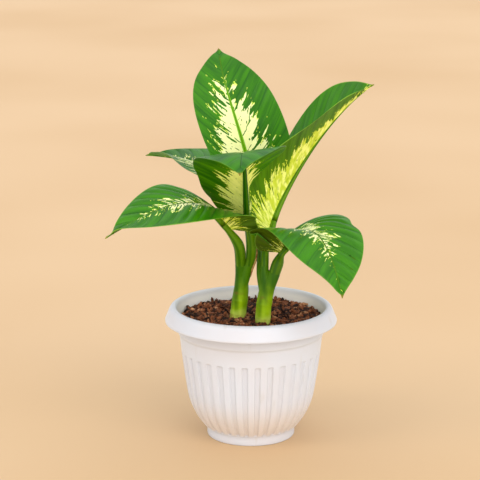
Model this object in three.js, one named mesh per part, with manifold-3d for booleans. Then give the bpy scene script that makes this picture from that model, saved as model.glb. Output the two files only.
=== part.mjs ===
// Potted dieffenbachia: two sheathed shoots with six variegated leaves, standing in a fluted
// plastic pot filled with chunky potting mix. Millimetres, +Z up, origin at the middle of the
// pot's foot. The plant's best side faces -Y.
import * as THREE from 'three';
import { mergeVertices } from 'three/addons/utils/BufferGeometryUtils.js';
import Module from 'manifold-3d';

const wasm = await Module();
wasm.setup();

// ---------------------------------------------------------------- driving dimensions

const GAP = 0.3; // clearance kept where two pieces touch

const POT = {
  footRadius: 42.5,
  footHeight: 9.5,
  wall: 2.4,
  floorThickness: 3,
  flutes: 34,
  fluteDepth: 1.1,
  fluteBottom: 11,
  fluteTop: 85.5,
  fluteFade: 3,
  drainHoles: 6,
  drainHoleRadius: 4,
  drainCircleRadius: 26,
};
// The wall's outer line above the foot, as [radius, height], up to the ledge under the rim.
const POT_WALL = [
  [43.6, 9.5], [45.6, 11], [53, 21.3], [59.5, 35.8], [63.2, 55], [66.6, 79.4],
  [67.4, 85.5], [69.2, 102.4], [70.3, 103.2], [70.8, 112],
];
// The rolled rim with its skirt, a closed outline that is open underneath.
const POT_RIM = [
  [82.5, 114.2], [82.9, 117.5], [81.8, 121.8], [79.2, 125.8], [75.4, 128.4], [72, 128.5],
  [70.6, 126.4], [69.2, 118], [68.2, 106], [70, 106], [71.4, 117], [73.2, 125.2], [76, 125.4],
  [79.6, 121.6], [80.9, 117.4], [80.7, 114.2],
];
const ROUND_SIDES = 60; // sides of the pot's round outer forms
const INNER_SIDES = 48; // sides of its inner form and of the mix
const SOIL = { top: 115.5, relief: 1.3, crumbs: 46, crumbMin: 1.6, crumbMax: 3.6, seed: 11 };

const CANE_FOOT = 78; // height of the canes' buried ends
const PETIOLE_CUT = 172; // height at which a leaf's own stalk leaves its sheath

// Each cane is a list of [x, y, z, radius].
const CANES = {
  stem_left: [
    [-17, 1, CANE_FOOT, 6.6], [-13, 0.5, 115.5, 7.6], [-9.4, 0, 146, 7.4], [-8, -1, 160, 5.5],
  ],
  stem_right: [
    [8, -18, CANE_FOOT, 6.6], [10.9, -17, 115.5, 7.6], [15, -15, 146, 7.8], [16.5, -14, 160, 5.5],
  ],
};

// Half of a leaf's outline: distance along the midrib and out from it, as shares of the
// leaf's length and half width. It starts in the notch and ends at the tip.
const OUTLINE = [
  [-0.05, 0.2], [-0.085, 0.47], [-0.05, 0.76], [0.06, 0.94], [0.22, 1], [0.4, 0.98],
  [0.58, 0.85], [0.74, 0.62], [0.87, 0.335], [0.95, 0.125], [1, 0],
];
const BLADE = {
  thickness: 0.9,
  rows: 19,
  columns: [0.35, 0.68, 1],
  ripple: 0.8,
};
const STALK = { radius: 3.9, sides: 8, steps: 14 };
// The midrib under the blade: its radius at the base and near its end, the share of the
// blade's length where it ends, and the least distance between its sections.
const MIDRIB = { base: 3, end: 0.6, reach: 0.86, spacing: 0.03 };

// Each leaf: the four control points of its midrib, the way its upper side faces at the base,
// the middle and the tip, half its width, and for each half the fold (degrees, at those three
// places), the curl (degrees, base and tip), and how much the lobe at the base narrows.
// "stalk" is the line of its petiole up to the blade, and "stem" the cane that carries it.
const LEAVES = {
  leaf_back: {
    stem: 'stem_right',
    midrib: [[3, 37, 228], [-3, 31, 282], [-27, 33, 330], [-32, 95, 365]],
    facing: [[0.1, -1, 0.3], [0, -1, 0.3], [0, -1, 0.3]],
    halfWidth: 47,
    left: { fold: [50, 27, 2], curl: [27, -4], narrow: 0 },
    right: { fold: [34, 17, 1], curl: [3, -5], narrow: 0.5 },
    stalk: [[12, -13, 146], [8.5, -9, 161], [8.8, -1, 174], [6.8, 13, 188], [4.2, 29, 204], [3, 38, 217]],
  },
  leaf_right: {
    stem: 'stem_right',
    midrib: [[21, 1, 203], [27, 36, 229], [73, 49, 307], [115, 0, 344]],
    facing: [[-0.6, 0.5, 0.5], [-0.5, -0.1, 0.3], [-0.6, -0.1, 0.9]],
    halfWidth: 46,
    left: { fold: [35, 27, 32], curl: [7, -2], narrow: 0.85 },
    right: { fold: [39, 30, 34], curl: [9, -6], narrow: 0.08 },
    stalk: [[14, -15, 146], [13.5, -14, 162], [15, -12, 175], [16.5, -7, 187], [19, -3, 195]],
  },
  leaf_front: {
    stem: 'stem_left',
    midrib: [[-7.5, -22, 224], [-8, -39, 252], [-7, -73, 326], [-11, -144, 286]],
    facing: [[0, 1.1, 0.1], [0, 0.6, 0.6], [-0.2, -0.1, 1]],
    halfWidth: 49,
    left: { fold: [48, -6, 6], curl: [16, -26], narrow: 0.85 },
    right: { fold: [42, 0, 5], curl: [-12, -20], narrow: 0 },
    stalk: [[-8, -2, 146], [-4, -4, 162], [-2.5, -8, 176], [-3, -13, 193], [-5, -17, 208]],
  },
  leaf_upper_left: {
    stem: 'stem_left',
    midrib: [[-12, 50, 238], [-31, 88, 244], [-55, 125, 251], [-108, 162, 245]],
    facing: [[0, -0.2, 1], [0, 0, 1], [-0.1, -0.2, 1]],
    halfWidth: 40,
    left: { fold: [11, 15, 17], curl: [3, 6], narrow: 0.3 },
    right: { fold: [9, 10, 10], curl: [0, 2], narrow: 0.3 },
    stalk: [[-9, 3, 146], [-7, 8, 162], [-6, 16, 176], [-8, 33, 197], [-9, 44, 218]],
  },
  leaf_lower_left: {
    stem: 'stem_left',
    midrib: [[-19, -19, 209], [-37, -24, 228], [-49, -61, 268], [-133, -96, 218]],
    facing: [[0.1, 0, 0.9], [0.2, -0.5, 1], [0, 0.2, 0.3]],
    halfWidth: 42,
    left: { fold: [45, -13, 12], curl: [-18, -7], narrow: 0 },
    right: { fold: [24, -10, 15], curl: [-24, -4], narrow: 0.5 },
    stalk: [[-11, -1, 146], [-11, -2, 160], [-11.5, -5, 173], [-13.5, -12, 191]],
  },
  leaf_lower_right: {
    stem: 'stem_right',
    midrib: [[27, -14, 185], [37, -14, 193], [62, -39, 253], [82, -115, 167]],
    facing: [[0, 0.1, 0.8], [0.1, -0.6, 0.9], [0.3, -0.6, 0.7]],
    halfWidth: 45,
    left: { fold: [38, -17, 16], curl: [-15, -11], narrow: 0.8 },
    right: { fold: [48, -15, 18], curl: [-6, -8], narrow: 0 },
    stalk: [[14, -15, 142], [17, -15.5, 157], [22.5, -16, 169], [26, -15, 179]],
    cut: 166,
    stalkRadius: 4.3,
  },
};

const MATERIALS = {
  pot: { color: 0xe8e2da, roughness: 0.42, metalness: 0 },
  potting_mix: { color: 0x4a2c16, roughness: 0.95, metalness: 0 },
  stem: { color: 0x7fae1f, roughness: 0.45, metalness: 0 },
  leaf: { color: 0x3f8a1e, roughness: 0.4, metalness: 0 },
};

// ---------------------------------------------------------------- closed solids

/** A solid from shared vertices and triangles that already close. */
function solidFrom(vertices, triangles) {
  const geometry = new THREE.BufferGeometry();
  geometry.setAttribute('position', new THREE.Float32BufferAttribute(vertices.flat(), 3));
  geometry.setIndex(triangles.flat());
  return solidOf(geometry);
}

/** A solid from a closed three.js geometry. */
function solidOf(geometry) {
  const bare = geometry.clone();
  bare.deleteAttribute('normal');
  bare.deleteAttribute('uv');
  const merged = mergeVertices(bare, 1e-4);
  const index = Array.from(merged.index.array);
  const triVerts = [];
  for (let i = 0; i < index.length; i += 3) {
    const [a, b, c] = index.slice(i, i + 3);
    if (a !== b && b !== c && c !== a) triVerts.push(a, b, c);
  }
  return new wasm.Manifold(new wasm.Mesh({
    numProp: 3,
    vertProperties: Float32Array.from(merged.attributes.position.array),
    triVerts: Uint32Array.from(triVerts),
  }));
}

/** A ring or plug turned about the Z axis from [radius, height] pairs. */
function turned(profile, segments) {
  const points = profile.map(([r, z]) => new THREE.Vector2(r, z));
  const geometry = new THREE.LatheGeometry(points, segments);
  geometry.rotateX(Math.PI / 2);
  const solid = solidOf(geometry);
  if (solid.volume() > 0) return solid;
  const flipped = geometry.clone();
  flipped.setIndex(Array.from(geometry.index.array).reverse());
  return solidOf(flipped);
}

/** Rings of equal length, closed by a flat fan at both ends. */
function loft(rings) {
  const sides = rings[0].length;
  const vertices = rings.flat();
  const triangles = [];
  for (let i = 0; i + 1 < rings.length; i++) {
    for (let j = 0; j < sides; j++) {
      const a = i * sides + j;
      const b = i * sides + ((j + 1) % sides);
      triangles.push([a, b, b + sides], [a, b + sides, a + sides]);
    }
  }
  const last = (rings.length - 1) * sides;
  for (let j = 1; j + 1 < sides; j++) {
    triangles.push([0, j + 1, j], [last, last + j, last + j + 1]);
  }
  return solidFrom(vertices, triangles);
}

/** A mesh of one named piece. */
function piece(name, solid, material) {
  const { vertProperties, triVerts } = solid.getMesh();
  const geometry = new THREE.BufferGeometry();
  geometry.setAttribute('position', new THREE.BufferAttribute(vertProperties, 3));
  geometry.setIndex(new THREE.BufferAttribute(triVerts, 1));
  geometry.computeVertexNormals();
  const mesh = new THREE.Mesh(geometry, new THREE.MeshStandardMaterial(material));
  mesh.name = name;
  return mesh;
}

/** A repeatable stream of random numbers from 0 to 1. */
function randomStream(seed) {
  let state = seed;
  return () => {
    state = (state * 1664525 + 1013904223) % 4294967296;
    return state / 4294967296;
  };
}

// ---------------------------------------------------------------- pot

/** How deep the flutes are at a height, from 0 to 1, with abrupt rounded ends. */
function fluteShare(z) {
  const fromTop = THREE.MathUtils.clamp((POT.fluteTop - z) / POT.fluteFade, 0, 1);
  const fromFoot = THREE.MathUtils.clamp((z - POT.fluteBottom) / POT.fluteFade, 0, 1);
  return Math.min(fromTop, fromFoot);
}

/** Radius of the pot's wall line at a height. */
function wallRadius(z) {
  const i = Math.max(1, POT_WALL.findIndex(([, top]) => top >= z));
  const [r0, z0] = POT_WALL[i - 1];
  const [r1, z1] = POT_WALL[i];
  return THREE.MathUtils.lerp(r0, r1, (z - z0) / (z1 - z0));
}

/** The fluted wall, as a full body: three points for each flute, a groove between ridges. */
function potBody() {
  const heights = [9.5, 11, 14, 21.3, 35.8, 55, 82.5, 85.5, 102.4, 103.2, 112];
  const shares = [0.3, 0.5, 0.7];
  const rings = heights.map((z) => {
    const ring = [];
    for (let k = 0; k < POT.flutes; k++) {
      for (const share of shares) {
        const angle = ((k + share) / POT.flutes) * 2 * Math.PI - Math.PI / 2;
        const groove = share === 0.5 ? POT.fluteDepth * fluteShare(z) : 0;
        const r = wallRadius(z) - groove;
        ring.push([r * Math.cos(angle), r * Math.sin(angle), z]);
      }
    }
    return ring;
  });
  return loft(rings);
}

/** Inner line of the pot, from the middle of the floor up to the rim's inner edge. */
function cavityProfile(inset) {
  const floor = POT.floorThickness + inset;
  const inner = (z) => wallRadius(z) - POT.wall - POT.fluteDepth - inset;
  return [
    [0, floor], [38.5 - inset, floor], [inner(12), 12], [inner(21.3), 21.3], [inner(35.8), 35.8],
    [inner(55), 55], [inner(85.5), 85.5], [67.4 - inset, 106], [68.4 - inset, 118],
  ];
}

function pot() {
  const foot = turned([
    [0, 0], [POT.footRadius - 1, 0], [POT.footRadius, 1], [POT.footRadius, POT.footHeight],
    [POT.footRadius - 2, POT.footHeight + 2], [0, POT.footHeight + 2],
  ], ROUND_SIDES);
  const rim = turned([...POT_RIM, POT_RIM[0]], ROUND_SIDES);
  const cavity = turned([...cavityProfile(0), [70, 126.4], [71, 130], [0, 130]], INNER_SIDES);
  let solid = foot.add(potBody()).add(rim).subtract(cavity);
  for (let k = 0; k < POT.drainHoles; k++) {
    const angle = (k / POT.drainHoles) * 2 * Math.PI;
    const bore = new THREE.CylinderGeometry(POT.drainHoleRadius, POT.drainHoleRadius, 12, 12);
    bore.rotateX(Math.PI / 2);
    bore.translate(
      POT.drainCircleRadius * Math.cos(angle), POT.drainCircleRadius * Math.sin(angle), 2,
    );
    solid = solid.subtract(solidOf(bore));
  }
  return solid;
}

// ---------------------------------------------------------------- canes and stalks

/** Gives each station of a tube its two cross directions, carried along without a twist. */
function carried(stations) {
  let across = new THREE.Vector3(1, 0, 0);
  return stations.map(({ centre, tangent, radius }) => {
    across = across.clone().addScaledVector(tangent, -across.dot(tangent)).normalize();
    return { centre, tangent, radius, across, along: tangent.clone().cross(across) };
  });
}

/** Stations of a tapered tube through [x, y, z, radius] points, up to a share of the way. */
function stationsAlong(points, steps, share = 1) {
  const curve = new THREE.CatmullRomCurve3(
    points.map(([x, y, z]) => new THREE.Vector3(x, y, z)), false, 'centripetal',
  );
  const radii = new THREE.SplineCurve(points.map((p, i) => new THREE.Vector2(i, p[3])));
  return Array.from({ length: steps + 1 }, (_, i) => {
    const t = (i / steps) * share;
    return { centre: curve.getPoint(t), tangent: curve.getTangent(t), radius: radii.getPoint(t).y };
  });
}

/** The corner points of one station, moved along the tube by a shift and grown by a margin. */
function ringPoints({ centre, tangent, across, along, radius }, sides, shift = 0, grow = 0) {
  return Array.from({ length: sides }, (_, j) => {
    const angle = (j / sides) * 2 * Math.PI;
    return centre.clone()
      .addScaledVector(tangent, shift)
      .addScaledVector(across, (radius + grow) * Math.cos(angle))
      .addScaledVector(along, (radius + grow) * Math.sin(angle))
      .toArray();
  });
}

/** A cane, or with a margin the hole that it stands in. */
function cane(name, margin = 0) {
  const stations = carried(stationsAlong(CANES[name], 10));
  return loft(stations.map((at, i) => ringPoints(at, 16, i === 0 ? -margin : 0, margin)));
}

/** A place on the midrib, which hangs from the middle of the blade's thickness. */
function midribStation(leaf, s) {
  const { centre, tangent, normal } = midribFrame(leaf, s);
  const radius = MIDRIB.end + (MIDRIB.base - MIDRIB.end) * (1 - s) ** 2;
  return { centre: centre.addScaledVector(normal, -radius), tangent, radius };
}

/** A leaf's stalk, split where it leaves its sheath: the petiole, then on as the midrib. */
function stalkRings(leaf) {
  const radius = leaf.stalkRadius ?? STALK.radius;
  const line = leaf.stalk.map(([x, y, z], i) => [x, y, z, i === 0 ? radius + 0.6 : radius]);
  const joined = [0, 0.06].map((s) => midribStation(leaf, s));
  line.push(...joined.map((at) => [...at.centre.toArray(), at.radius]));
  const petiole = stationsAlong(line, STALK.steps, (line.length - 2) / (line.length - 1));
  const midrib = [];
  for (const s of veinRoots(marginPoints())) {
    const last = midrib.at(-1)?.s ?? 0;
    if (s - last > MIDRIB.spacing && s < MIDRIB.reach) midrib.push({ s, ...midribStation(leaf, s) });
  }
  const stations = carried([...petiole, ...midrib]);
  const cut = stations.findIndex(({ centre }) => centre.z > (leaf.cut ?? PETIOLE_CUT));
  const ring = (at, shift) => ringPoints(at, STALK.sides, shift);
  return {
    sheathed: stations.slice(0, cut + 1).map((at) => ring(at, 0)),
    free: stations.slice(cut).map((at, i) => ring(at, i === 0 ? GAP : 0)),
  };
}

function stem(name) {
  const carried = Object.values(LEAVES).filter((leaf) => leaf.stem === name);
  return carried.reduce((solid, leaf) => solid.add(loft(stalkRings(leaf).sheathed)), cane(name));
}

// ---------------------------------------------------------------- leaf blades

const vector = (point) => new THREE.Vector3(...point);

/** Weights of a quadratic blend from base through middle to tip. */
function blend([base, middle, tip], s) {
  return (1 - s) ** 2 * base + 2 * s * (1 - s) * middle + s * s * tip;
}

/** Point, direction and upper-side normal of the midrib at share s of its length. */
function midribFrame(leaf, s) {
  leaf.curve ??= new THREE.CubicBezierCurve3(...leaf.midrib.map(vector));
  leaf.length ??= leaf.curve.getLength();
  const inside = THREE.MathUtils.clamp(s, 0, 1);
  const tangent = leaf.curve.getTangentAt(inside);
  const centre = leaf.curve.getPointAt(inside).addScaledVector(tangent, (s - inside) * leaf.length);
  const facing = new THREE.Vector3(
    ...[0, 1, 2].map((axis) => blend(leaf.facing.map((f) => f[axis]), inside)),
  );
  const normal = facing.addScaledVector(tangent, -facing.dot(tangent)).normalize();
  return { centre, tangent, normal, across: tangent.clone().cross(normal) };
}

/** Point of the blade: s along the midrib, t out from it, side -1 left or +1 right. */
function bladePoint(leaf, s, t, side) {
  const half = side < 0 ? leaf.left : leaf.right;
  const { centre, normal, across } = midribFrame(leaf, s < 0 ? s * (1 - half.narrow) : s);
  const inside = THREE.MathUtils.clamp(s, 0, 1);
  const lobe = THREE.MathUtils.clamp((0.28 - s) / 0.33, 0, 1) ** 1.3;
  const out = t * (1 - half.narrow * lobe);
  const fold = THREE.MathUtils.degToRad(blend(half.fold, inside));
  const curl = THREE.MathUtils.degToRad(THREE.MathUtils.lerp(...half.curl, inside));
  const bend = (curl * out) / 2;
  const chord = (Math.abs(bend) < 1e-6 ? 1 : Math.sin(bend) / bend) * out * leaf.halfWidth;
  return centre
    .addScaledVector(across, side * chord * Math.cos(fold + bend))
    .addScaledVector(normal, chord * Math.sin(fold + bend));
}

/** Places along half a leaf's margin, from the notch to the tip. */
function marginPoints() {
  const outline = new THREE.SplineCurve(OUTLINE.map(([s, t]) => new THREE.Vector2(s, t)));
  return Array.from({ length: BLADE.rows }, (_, i) => outline.getPoint(i / (BLADE.rows - 1)));
}

/** Where the side veins start on the midrib, for each place on the margin. */
function veinRoots(margin) {
  const steps = margin.map((p, i) => {
    const q = margin[Math.max(0, i - 1)];
    return Math.hypot(p.x - q.x, (p.y - q.y) * 0.26);
  });
  const total = steps.reduce((sum, step) => sum + step, 0);
  let walked = 0;
  return margin.map((p, i) => {
    walked += steps[i];
    if (i === 0) return 0;
    if (i === margin.length - 1) return 1;
    const soft = 0.06 * Math.log1p(Math.exp((p.x - 0.2 * p.y) / 0.06));
    return Math.min(1, soft + 0.04 * (walked / total) * (1 - THREE.MathUtils.clamp(p.x, 0, 1)));
  });
}

/** One half of the blade: rows run along the margin, columns out from the midrib. */
function halfBlade(leaf, side) {
  const margin = marginPoints();
  const roots = veinRoots(margin);
  return margin.map((edge, i) => BLADE.columns.map((b) => {
    const near = (1 - b) ** 2;
    const middle = 2 * b * (1 - b);
    const s = near * roots[i] + middle * (roots[i] + 0.35 * (edge.x - roots[i])) + b * b * edge.x;
    const t = middle * 0.6 * edge.y + b * b * edge.y;
    return { point: bladePoint(leaf, s, t, side), reach: b, row: i };
  }));
}

/** Both halves with the midrib between them, as a grid of points from left to right. */
function bladeGrid(leaf) {
  const [left, right] = [-1, 1].map((side) => halfBlade(leaf, side));
  return veinRoots(marginPoints()).map((s, i) => [
    ...left[i].toReversed(),
    { point: midribFrame(leaf, s).centre, reach: 0, row: i },
    ...right[i],
  ]);
}

/** The upper side's normal at every point of a blade's grid. */
function gridNormals(grid) {
  const last = grid.length - 1;
  const normals = grid.map((row, i) => row.map((_, j) => {
    const up = grid[Math.min(i + 1, last)][j].point;
    const down = grid[Math.max(i - 1, 0)][j].point;
    const rightward = row[Math.min(j + 1, row.length - 1)].point;
    const leftward = row[Math.max(j - 1, 0)].point;
    const across = rightward.clone().sub(leftward);
    return across.cross(up.clone().sub(down)).normalize();
  }));
  const middle = (grid[0].length - 1) / 2;
  normals[last] = normals[last].map(() => normals[last - 1][middle].clone());
  return normals;
}

/** The blade as a thin waved solid, split into triangles alike on both faces. */
function blade(leaf) {
  const grid = bladeGrid(leaf);
  const normals = gridNormals(grid);
  const columns = grid[0].length;
  const middle = (columns - 1) / 2;
  const rows = grid.length;
  const upper = [];
  const lower = [];
  grid.forEach((row, i) => row.forEach(({ point, reach }, j) => {
    const wave = BLADE.ripple * reach ** 3 * Math.sin(i * 1.35 + (j < middle ? 0.8 : 2.6));
    const place = point.clone().addScaledVector(normals[i][j], i === rows - 1 ? 0 : wave);
    upper.push(place.clone().addScaledVector(normals[i][j], BLADE.thickness / 2).toArray());
    lower.push(place.addScaledVector(normals[i][j], -BLADE.thickness / 2).toArray());
  }));
  // The tip row is one point on each face.
  const tipRow = (rows - 1) * columns;
  const at = (i, j) => (i === rows - 1 ? tipRow + middle : i * columns + j);
  const under = rows * columns;
  const triangles = [];
  for (let i = 0; i + 1 < rows; i++) {
    for (let j = 0; j + 1 < columns; j++) {
      const [a, b, c, d] = [at(i, j), at(i, j + 1), at(i + 1, j + 1), at(i + 1, j)];
      triangles.push([a, b, c], [under + a, under + c, under + b]);
      if (i + 1 < rows - 1) triangles.push([a, c, d], [under + a, under + d, under + c]);
    }
  }
  const rim = [
    ...Array.from({ length: columns }, (_, j) => at(0, j)),
    ...Array.from({ length: rows - 2 }, (_, i) => at(i + 1, columns - 1)),
    at(rows - 1, middle),
    ...Array.from({ length: rows - 2 }, (_, i) => at(rows - 2 - i, 0)),
  ];
  rim.forEach((a, k) => {
    const b = rim[(k + 1) % rim.length];
    triangles.push([b, a, under + a], [b, under + a, under + b]);
  });
  return solidFrom([...upper, ...lower], triangles);
}

/** Blade, midrib and free petiole in one, without the specks that joining them can shed. */
function leafSolid(leaf) {
  const joined = blade(leaf).add(loft(stalkRings(leaf).free));
  return joined.decompose().sort((a, b) => b.volume() - a.volume())[0];
}

// ---------------------------------------------------------------- potting mix

/** Height of the mix's surface: low mounds that fade out at the pot's wall. */
function soilHeight(x, y) {
  const mounds = Math.sin(x * 0.19 + 1) * Math.cos(y * 0.23) + 0.6 * Math.sin(x * 0.47 - y * 0.41);
  return SOIL.top + SOIL.relief * 0.6 * mounds;
}

/** The body of the mix: the pot's inner form with an uneven top. */
function soilBody() {
  const wall = cavityProfile(GAP).filter(([, z]) => z < SOIL.top - 3);
  const edge = 67.6;
  const radii = [edge, 58, 47, 36, 25, 13];
  const ringAt = (r, height) => Array.from({ length: INNER_SIDES }, (_, k) => {
    const angle = (k / INNER_SIDES) * 2 * Math.PI;
    const x = r * Math.cos(angle);
    const y = r * Math.sin(angle);
    return [x, y, height ?? soilHeight(x, y)];
  });
  const rings = [
    ...wall.slice(1).map(([r, z]) => ringAt(r, z)),
    ...radii.map((r) => ringAt(r)),
  ];
  return loft(rings);
}

/** A crumb: a lump with rounded corners, half sunk into the surface. */
function crumb(x, y, size, turn) {
  const lump = new THREE.IcosahedronGeometry(size, 0);
  lump.rotateX(turn);
  lump.rotateZ(turn * 1.7);
  lump.scale(1, 0.85, 0.7);
  lump.translate(x, y, soilHeight(x, y) + size * 0.1);
  return solidOf(lump);
}

function soil() {
  const random = randomStream(SOIL.seed);
  let solid = soilBody();
  const feet = Object.values(CANES).map(([, [x, y]]) => [x, y]);
  let placed = 0;
  while (placed < SOIL.crumbs) {
    const r = 62 * Math.sqrt(random());
    const angle = random() * 2 * Math.PI;
    const size = THREE.MathUtils.lerp(SOIL.crumbMin, SOIL.crumbMax, random() ** 1.5);
    const [x, y] = [r * Math.cos(angle), r * Math.sin(angle)];
    const clear = feet.every(([fx, fy]) => Math.hypot(x - fx, y - fy) > 9.5 + size);
    if (!clear) continue;
    solid = solid.add(crumb(x, y, size, random() * Math.PI));
    placed += 1;
  }
  for (const name of Object.keys(CANES)) solid = solid.subtract(cane(name, GAP));
  return solid;
}

// ---------------------------------------------------------------- the whole plant

const plant = new THREE.Group();
plant.add(piece('pot', pot(), MATERIALS.pot));
plant.add(piece('potting_mix', soil(), MATERIALS.potting_mix));
for (const name of Object.keys(CANES)) plant.add(piece(name, stem(name), MATERIALS.stem));
for (const [name, leaf] of Object.entries(LEAVES)) {
  plant.add(piece(name, leafSolid(leaf), MATERIALS.leaf));
}

export default plant;
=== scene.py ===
"""Potted dieffenbachia: the finished surfaces of the pot, the coir mix, two shoots and six leaves.

Lengths are in millimetres until a mesh is made, and every piece is placed in the part's own
frame: +Z up, the origin at the middle of the pot's foot, the plant's best side facing -Y.
"""

import logging
import math
from dataclasses import dataclass, field
from enum import Enum

import bmesh
import bpy
import numpy as np
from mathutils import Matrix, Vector


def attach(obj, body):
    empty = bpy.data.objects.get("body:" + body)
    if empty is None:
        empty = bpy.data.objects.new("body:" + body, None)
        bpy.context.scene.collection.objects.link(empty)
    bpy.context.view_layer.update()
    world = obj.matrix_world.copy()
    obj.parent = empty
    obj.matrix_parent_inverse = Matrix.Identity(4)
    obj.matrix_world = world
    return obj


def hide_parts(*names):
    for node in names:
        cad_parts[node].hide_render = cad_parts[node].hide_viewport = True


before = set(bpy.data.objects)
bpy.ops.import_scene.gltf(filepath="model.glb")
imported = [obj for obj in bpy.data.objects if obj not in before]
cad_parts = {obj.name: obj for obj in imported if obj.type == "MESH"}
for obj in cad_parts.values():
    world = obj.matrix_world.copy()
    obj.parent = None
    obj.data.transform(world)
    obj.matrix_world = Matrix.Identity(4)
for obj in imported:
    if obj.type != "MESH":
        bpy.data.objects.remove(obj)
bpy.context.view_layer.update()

LOG = logging.getLogger("dieffenbachia")
MM = 0.001
BODY = "root"
# How far apart the side veins are along a vein_map, and the radius of the ring that a skin_map
# goes round a tube on, both in millimetres.
VEIN_GAP = 11.5
SKIN_RADIUS = 3.0
EVEN_PACE = ((0, 0), (1, 1))

Array = np.ndarray
Material = bpy.types.Material
Node = bpy.types.Node
Piece = bpy.types.Object
Socket = bpy.types.NodeSocket
Sockets = bpy.types.bpy_prop_collection


class Side(Enum):
    """Which half of a blade: LEFT lies on the blade's -across side, RIGHT on the other."""

    LEFT = -1
    RIGHT = 1


class Slot(Enum):
    """Names of material slots, which nothing in this script uses."""

    POT = "pot_plastic"
    MIX = "coir_mix"
    STEM = "stem_skin"
    LEAF = "leaf_skin"


# ------------------------------------------------------------------ curves and surfaces


def unit(vectors: Array) -> Array:
    """Vectors scaled to length one along their last axis."""
    return vectors / np.maximum(np.linalg.norm(vectors, axis=-1, keepdims=True), 1e-12)


def ease(low: float, high: float, value: Array) -> Array:
    """A smooth step from 0 at low to 1 at high."""
    t = np.clip((value - low) / (high - low), 0, 1)
    return t * t * (3 - 2 * t)


def bow(w: Array, start: Array, middle: Array, end: Array) -> Array:
    """A quadratic curve: it leaves start towards middle and comes to end from there."""
    return (1 - w) ** 2 * start + 2 * w * (1 - w) * middle + w**2 * end


def walked(points: Array) -> Array:
    """The length walked along a polyline up to each of its points."""
    return np.concatenate([[0], np.cumsum(np.linalg.norm(np.diff(points, axis=0), axis=1))])


def round_angles(count: int) -> Array:
    """Angles at equal steps round one turn, in radians."""
    return np.arange(count) / count * 2 * np.pi


def polar(radius: Array, angle: Array) -> Array:
    """Places [x, y] at a distance and an angle from the middle."""
    return np.stack([radius * np.cos(angle), radius * np.sin(angle)], axis=-1)


def turned(x: Array, y: Array, angle: Array) -> tuple[Array, Array]:
    """Places turned about the middle by an angle."""
    c, s = np.cos(angle), np.sin(angle)
    return x * c - y * s, x * s + y * c


def raised(places: Array, height: Array) -> Array:
    """Points [x, y, z] over places [x, y]."""
    z = np.broadcast_to(height, places.shape[:-1])
    return np.concatenate([places, z[..., None]], axis=-1)


def through(points: Array, share: Array) -> Array:
    """A Catmull-Rom curve through points, with an equal share of the parameter for each span.

    Between two points the curve is the cubic that leaves and arrives along half the chord of
    the neighbours on either side.

    Args:
        points: the points it passes through, one a row.
        share: places along it, from 0 to 1.

    Returns:
        One point a row for each share.
    """
    points = np.asarray(points, float)
    last = len(points) - 1
    place = np.clip(share, 0, 1) * last
    span = np.minimum(place.astype(int), last - 1)
    w = (place - span)[:, None]
    p0, p1, p2, p3 = (points[np.clip(span + k, 0, last)] for k in (-1, 0, 1, 2))
    v0, v1 = (p2 - p0) / 2, (p3 - p1) / 2
    cubic = (2 * p1 - 2 * p2 + v0 + v1) * w**3 + (-3 * p1 + 3 * p2 - 2 * v0 - v1) * w**2
    return cubic + v0 * w + p1


def evenly(points: Array, count: int, pace: tuple = EVEN_PACE) -> Array:
    """Points at equal distances along a polyline, or at distances that follow a pace.

    Args:
        points: the polyline's corners, one a row.
        count: how many points come back.
        pace: [share of the points, share of the length] pairs.

    Returns:
        The points, one a row, with both ends kept.
    """
    length = walked(points)
    at = length[-1] * np.interp(np.linspace(0, 1, count), *np.array(pace).T)
    return np.stack([np.interp(at, length, column) for column in points.T], axis=1)


def centripetal(points: Array, count: int, keep: int) -> Array:
    """A smooth line through points, its speed set by the square root of each span's length.

    Each span is the cubic that keeps the slope of the parabola through a point and its two
    neighbours, measured in the first three columns; the others follow along.

    Args:
        points: rows of x, y, z and any further numbers.
        count: how many rows come back.
        keep: number of the point where the line ends.

    Returns:
        Rows along the line, from the first point to the kept one.
    """
    gaps = np.sqrt(np.linalg.norm(np.diff(points[:, :3], axis=0), axis=1))
    knots = np.concatenate([[0], np.cumsum(gaps)])
    step = (points[1:] - points[:-1]) / gaps[:, None]
    slope = np.zeros_like(points)
    weight = gaps[:-1] / (gaps[:-1] + gaps[1:])
    slope[1:-1] = step[:-1] * (1 - weight)[:, None] + step[1:] * weight[:, None]
    slope[0], slope[-1] = step[0], step[-1]
    at = np.linspace(0, knots[keep], count)
    span = np.clip(np.searchsorted(knots, at, side="right") - 1, 0, len(gaps) - 1)
    h = gaps[span][:, None]
    w = ((at - knots[span]) / gaps[span])[:, None]
    a = (2 * w**3 - 3 * w**2 + 1) * points[span] + (w**3 - 2 * w**2 + w) * h * slope[span]
    return a + (3 * w**2 - 2 * w**3) * points[span + 1] + (w**3 - w**2) * h * slope[span + 1]


def grid_quads(rows: int, columns: int, around: bool = False) -> Array:
    """The quads of a grid of points in row order.

    Args:
        rows: rows of points.
        columns: points in a row.
        around: whether the last column joins the first.

    Returns:
        Four point numbers for each quad.
    """
    i, j = np.meshgrid(np.arange(rows - 1), np.arange(columns if around else columns - 1), indexing="ij")
    k = (j + 1) % columns
    quads = [i * columns + j, i * columns + k, (i + 1) * columns + k, (i + 1) * columns + j]
    return np.stack(quads, axis=-1).reshape(-1, 4)


@dataclass
class Shell:
    """Points with quads and triangles over them, and named values for each point."""

    points: Array
    quads: Array
    triangles: Array = field(default_factory=lambda: np.zeros((0, 3), int))
    values: dict[str, Array] = field(default_factory=dict)
    finish: int = 0

    def flipped(self) -> "Shell":
        """The same shell with its faces turned over."""
        return Shell(self.points, self.quads[:, ::-1], self.triangles[:, ::-1], self.values, self.finish)


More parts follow.
